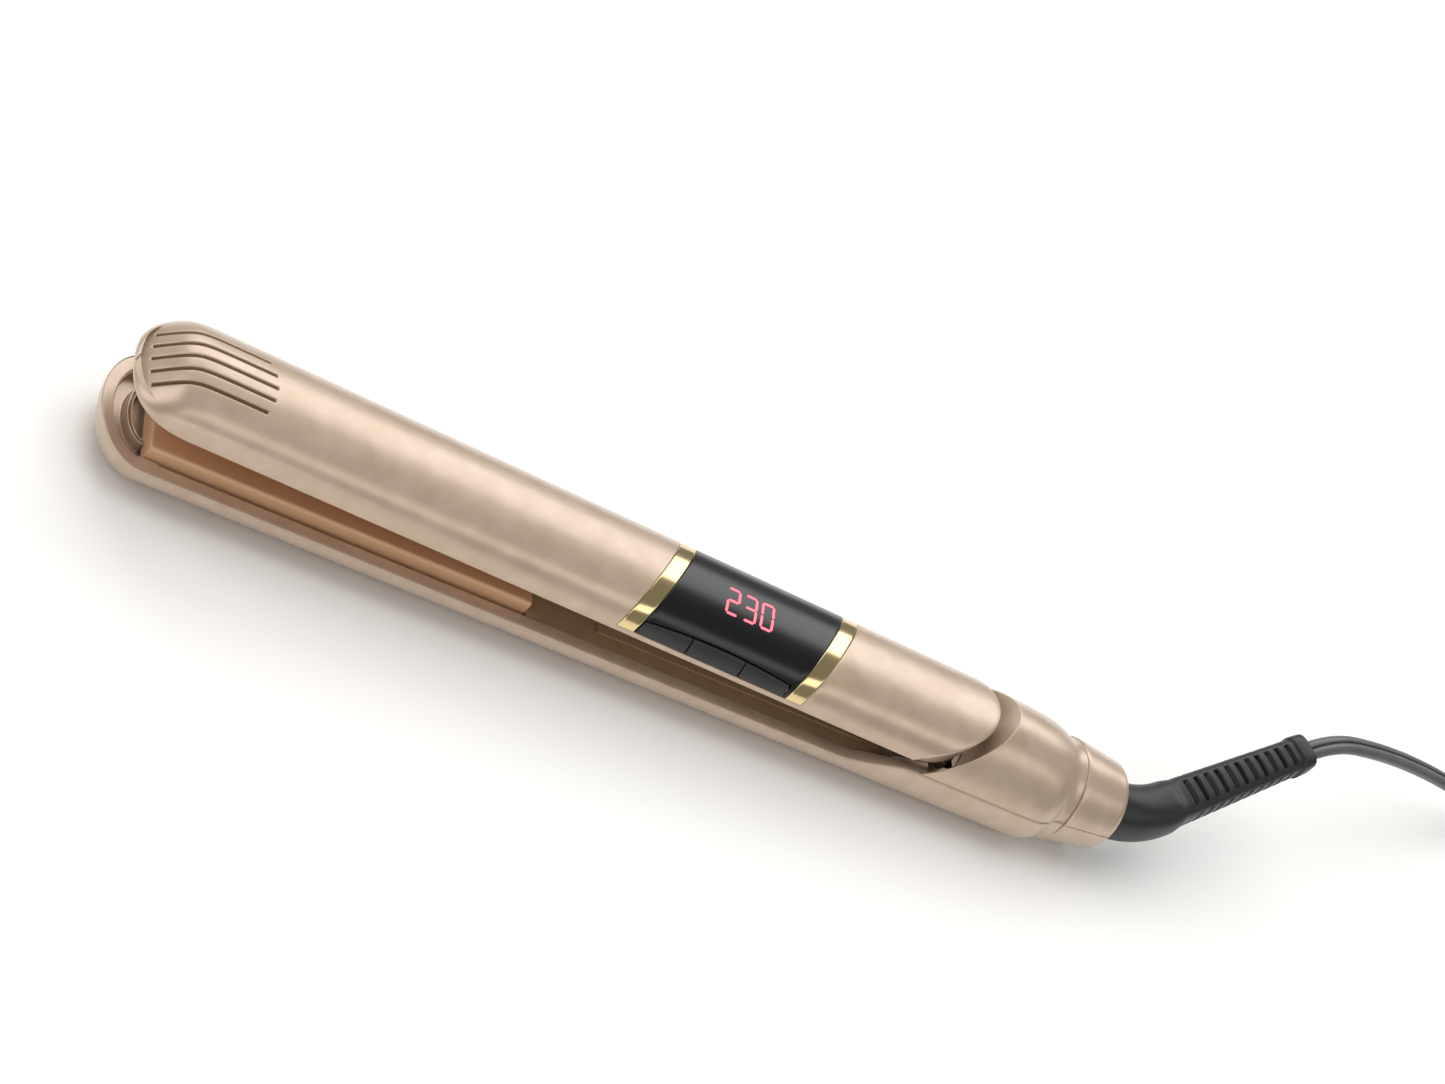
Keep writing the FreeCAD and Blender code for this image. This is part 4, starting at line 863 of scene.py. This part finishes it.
stations.append((corner + turn * 67.5, turn, 2.9, 1.9, 2.6, 0))
slot_edges = np.radians([-26.2, -25.2, -24.6, 24.6, 25.2, 26.2])
around = np.unique(np.round(np.concatenate([
    np.linspace(0, 2 * np.pi, 73), np.pi / 2 + slot_edges, 3 * np.pi / 2 + slot_edges,
    np.pi + np.radians([-29, -28, -26, 26, 28, 29]), np.radians([26, 28, 29, 331, 332, 334])]), 5))
rows = []
for place, going, half_w, half_h, power, ribbed in stations:
    going = going / np.linalg.norm(going)
    flat_side = np.cross((0, 0, 1.0), going)
    flat_side /= np.linalg.norm(flat_side)
    over = np.cross(going, flat_side)
    c, s = np.cos(around), np.sin(around)
    w = half_w * np.sign(c) * np.abs(c) ** (2 / power)
    h = half_h * np.sign(s) * np.abs(s) ** (2 / power)
    cut = np.zeros(len(around))
    if ribbed:
        along = float((place - corner) @ turn)
        phase = ((along - sleeve_start - 0.45 * pitch) / pitch) % 1.0
        in_slot = np.clip(min(phase, 0.46 - phase) / 0.05, 0, 1) if phase < 0.46 else 0.0
        phase_side = (phase - 0.5) % 1.0
        in_notch = np.clip(min(phase_side, 0.42 - phase_side) / 0.05, 0, 1) if phase_side < 0.42 else 0.0
        top = np.abs(s) > math.sin(math.radians(65.1))
        flank = np.abs(c) > math.cos(math.radians(28.5))
        live = sleeve_start + 0.4 * pitch < along < sleeve_end - 0.6
        cut = np.where(top, 1.55 * in_slot, 0) + np.where(flank, 1.15 * in_notch, 0)
        cut = cut * live
    h = h - np.sign(s) * np.where(np.abs(s) > 0.8, cut, 0)
    w = w - np.sign(c) * np.where(np.abs(c) > 0.85, cut, 0)
    rows.append(place + np.outer(w, flat_side) + np.outer(h, over))
grid = np.array(rows)
lead_in = grid[0] - [2.15, 0, 0]
grid = np.concatenate([lead_in[None], grid])
relief = joined("cable_strain_relief", [(grid, 0)], [rubber])
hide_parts("strain_relief")
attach(relief, "cord")

# ---- plug, pins and tie --------------------------------------------------------------------------
# Flat two-pin plug moulded on the cable's end, and a hook-and-loop tie round the hank.
plug_base = np.array([147 + 366.0, 12.0, 6.85])
rows = []
for along, half_w, half_t, power in (
        (0, 2.9, 2.0, 2.4), (0.0, 3.6, 3.2, 2.6), (0.5, 4.0, 3.5, 2.8), (4.6, 4.4, 3.9, 3),
        (9.2, 5.0, 4.5, 3), (14, 7.6, 5.6, 3.4), (20, 11.6, 6.4, 4), (26, 15.2, 6.8, 4.6),
        (31, 16.9, 6.85, 5), (35.6, 17.5, 6.85, 5), (36.5, 17.45, 6.75, 5), (36.9, 17.2, 6.5, 5),
        (37.0, 16.8, 6.2, 5), (37.0, 8.0, 3.0, 4), (37.0, 0.1, 0.1, 2)):
    a = np.linspace(0, 2 * np.pi, 65)
    c, s = np.cos(a), np.sin(a)
    groove_cut = 0.35 if 5 < along < 12 and int(along) % 2 else 0.0
    w = (half_w - groove_cut) * np.sign(c) * np.abs(c) ** (2 / power)
    h = (half_t - groove_cut) * np.sign(s) * np.abs(s) ** (2 / power)
    rows.append(np.stack([plug_base[0] - along + 0 * w, plug_base[1] - w, plug_base[2] + h], -1))
plug = joined("mains_plug", [(np.array(rows), 0)], [rubber])
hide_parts("plug_body")
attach(plug, "cord")
hank_middle = np.array([147 + 396.0, 51.7, 0.0])
rows = []
half_band = [(10.9, 0.02), (10.9, 6), (10.9, 12), (10.9, 18), (10.8, 21.6), (10.0, 23.0), (8.6, 23.6),
             (4, 23.75)]
band = [(-y, z) for y, z in half_band] + [(0, 23.8)] + half_band[::-1]
for along, shrink in ((-4.5, 0.7), (-4.45, 0.1), (-4.2, 0.0), (0, 0.05), (4.2, 0.0), (4.45, 0.1), (4.5, 0.7)):
    rows.append([(hank_middle[0] + along, hank_middle[1] + y - np.sign(y) * shrink,
                  z - (shrink if z > 20 else 0)) for y, z in band])
tie = joined("cable_tie", [(np.array(rows), 0)], [rubber])
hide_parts("hank_tie")
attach(tie, "cord")

# ---- inner pieces that the CAD model already has -------------------------------------------------
# Each keeps its shape and takes the finish of the real part.
for material, names in (
        (tray, ("lower_inner_cover", "upper_inner_cover", "lower_plate_holder", "upper_plate_holder",
                "swivel_barrel")),
        (steel, ("hinge_pin", "hinge_bracket", "arm_spring", "lower_heater_clip", "upper_heater_clip",
                 "swivel_rings", "lower_thermostat", "upper_thermostat", "housing_screws", "cover_screws")),
        (brass, ("hinge_bushes", "plug_pins")),
        (board, ("control_board", "power_board", "key_board", "board_components")),
        (black, ("digit_display",)), (ceramic, ("lower_heater", "upper_heater")),
        (silicone, ("lower_plate_cushions", "upper_plate_cushions")), (rubber, ("mains_leads",))):
    for name in names:
        piece = nodes[name]
        for k in range(len(piece.data.materials)):
            piece.data.materials[k] = material
        if not piece.data.materials:
            piece.data.materials.append(material)
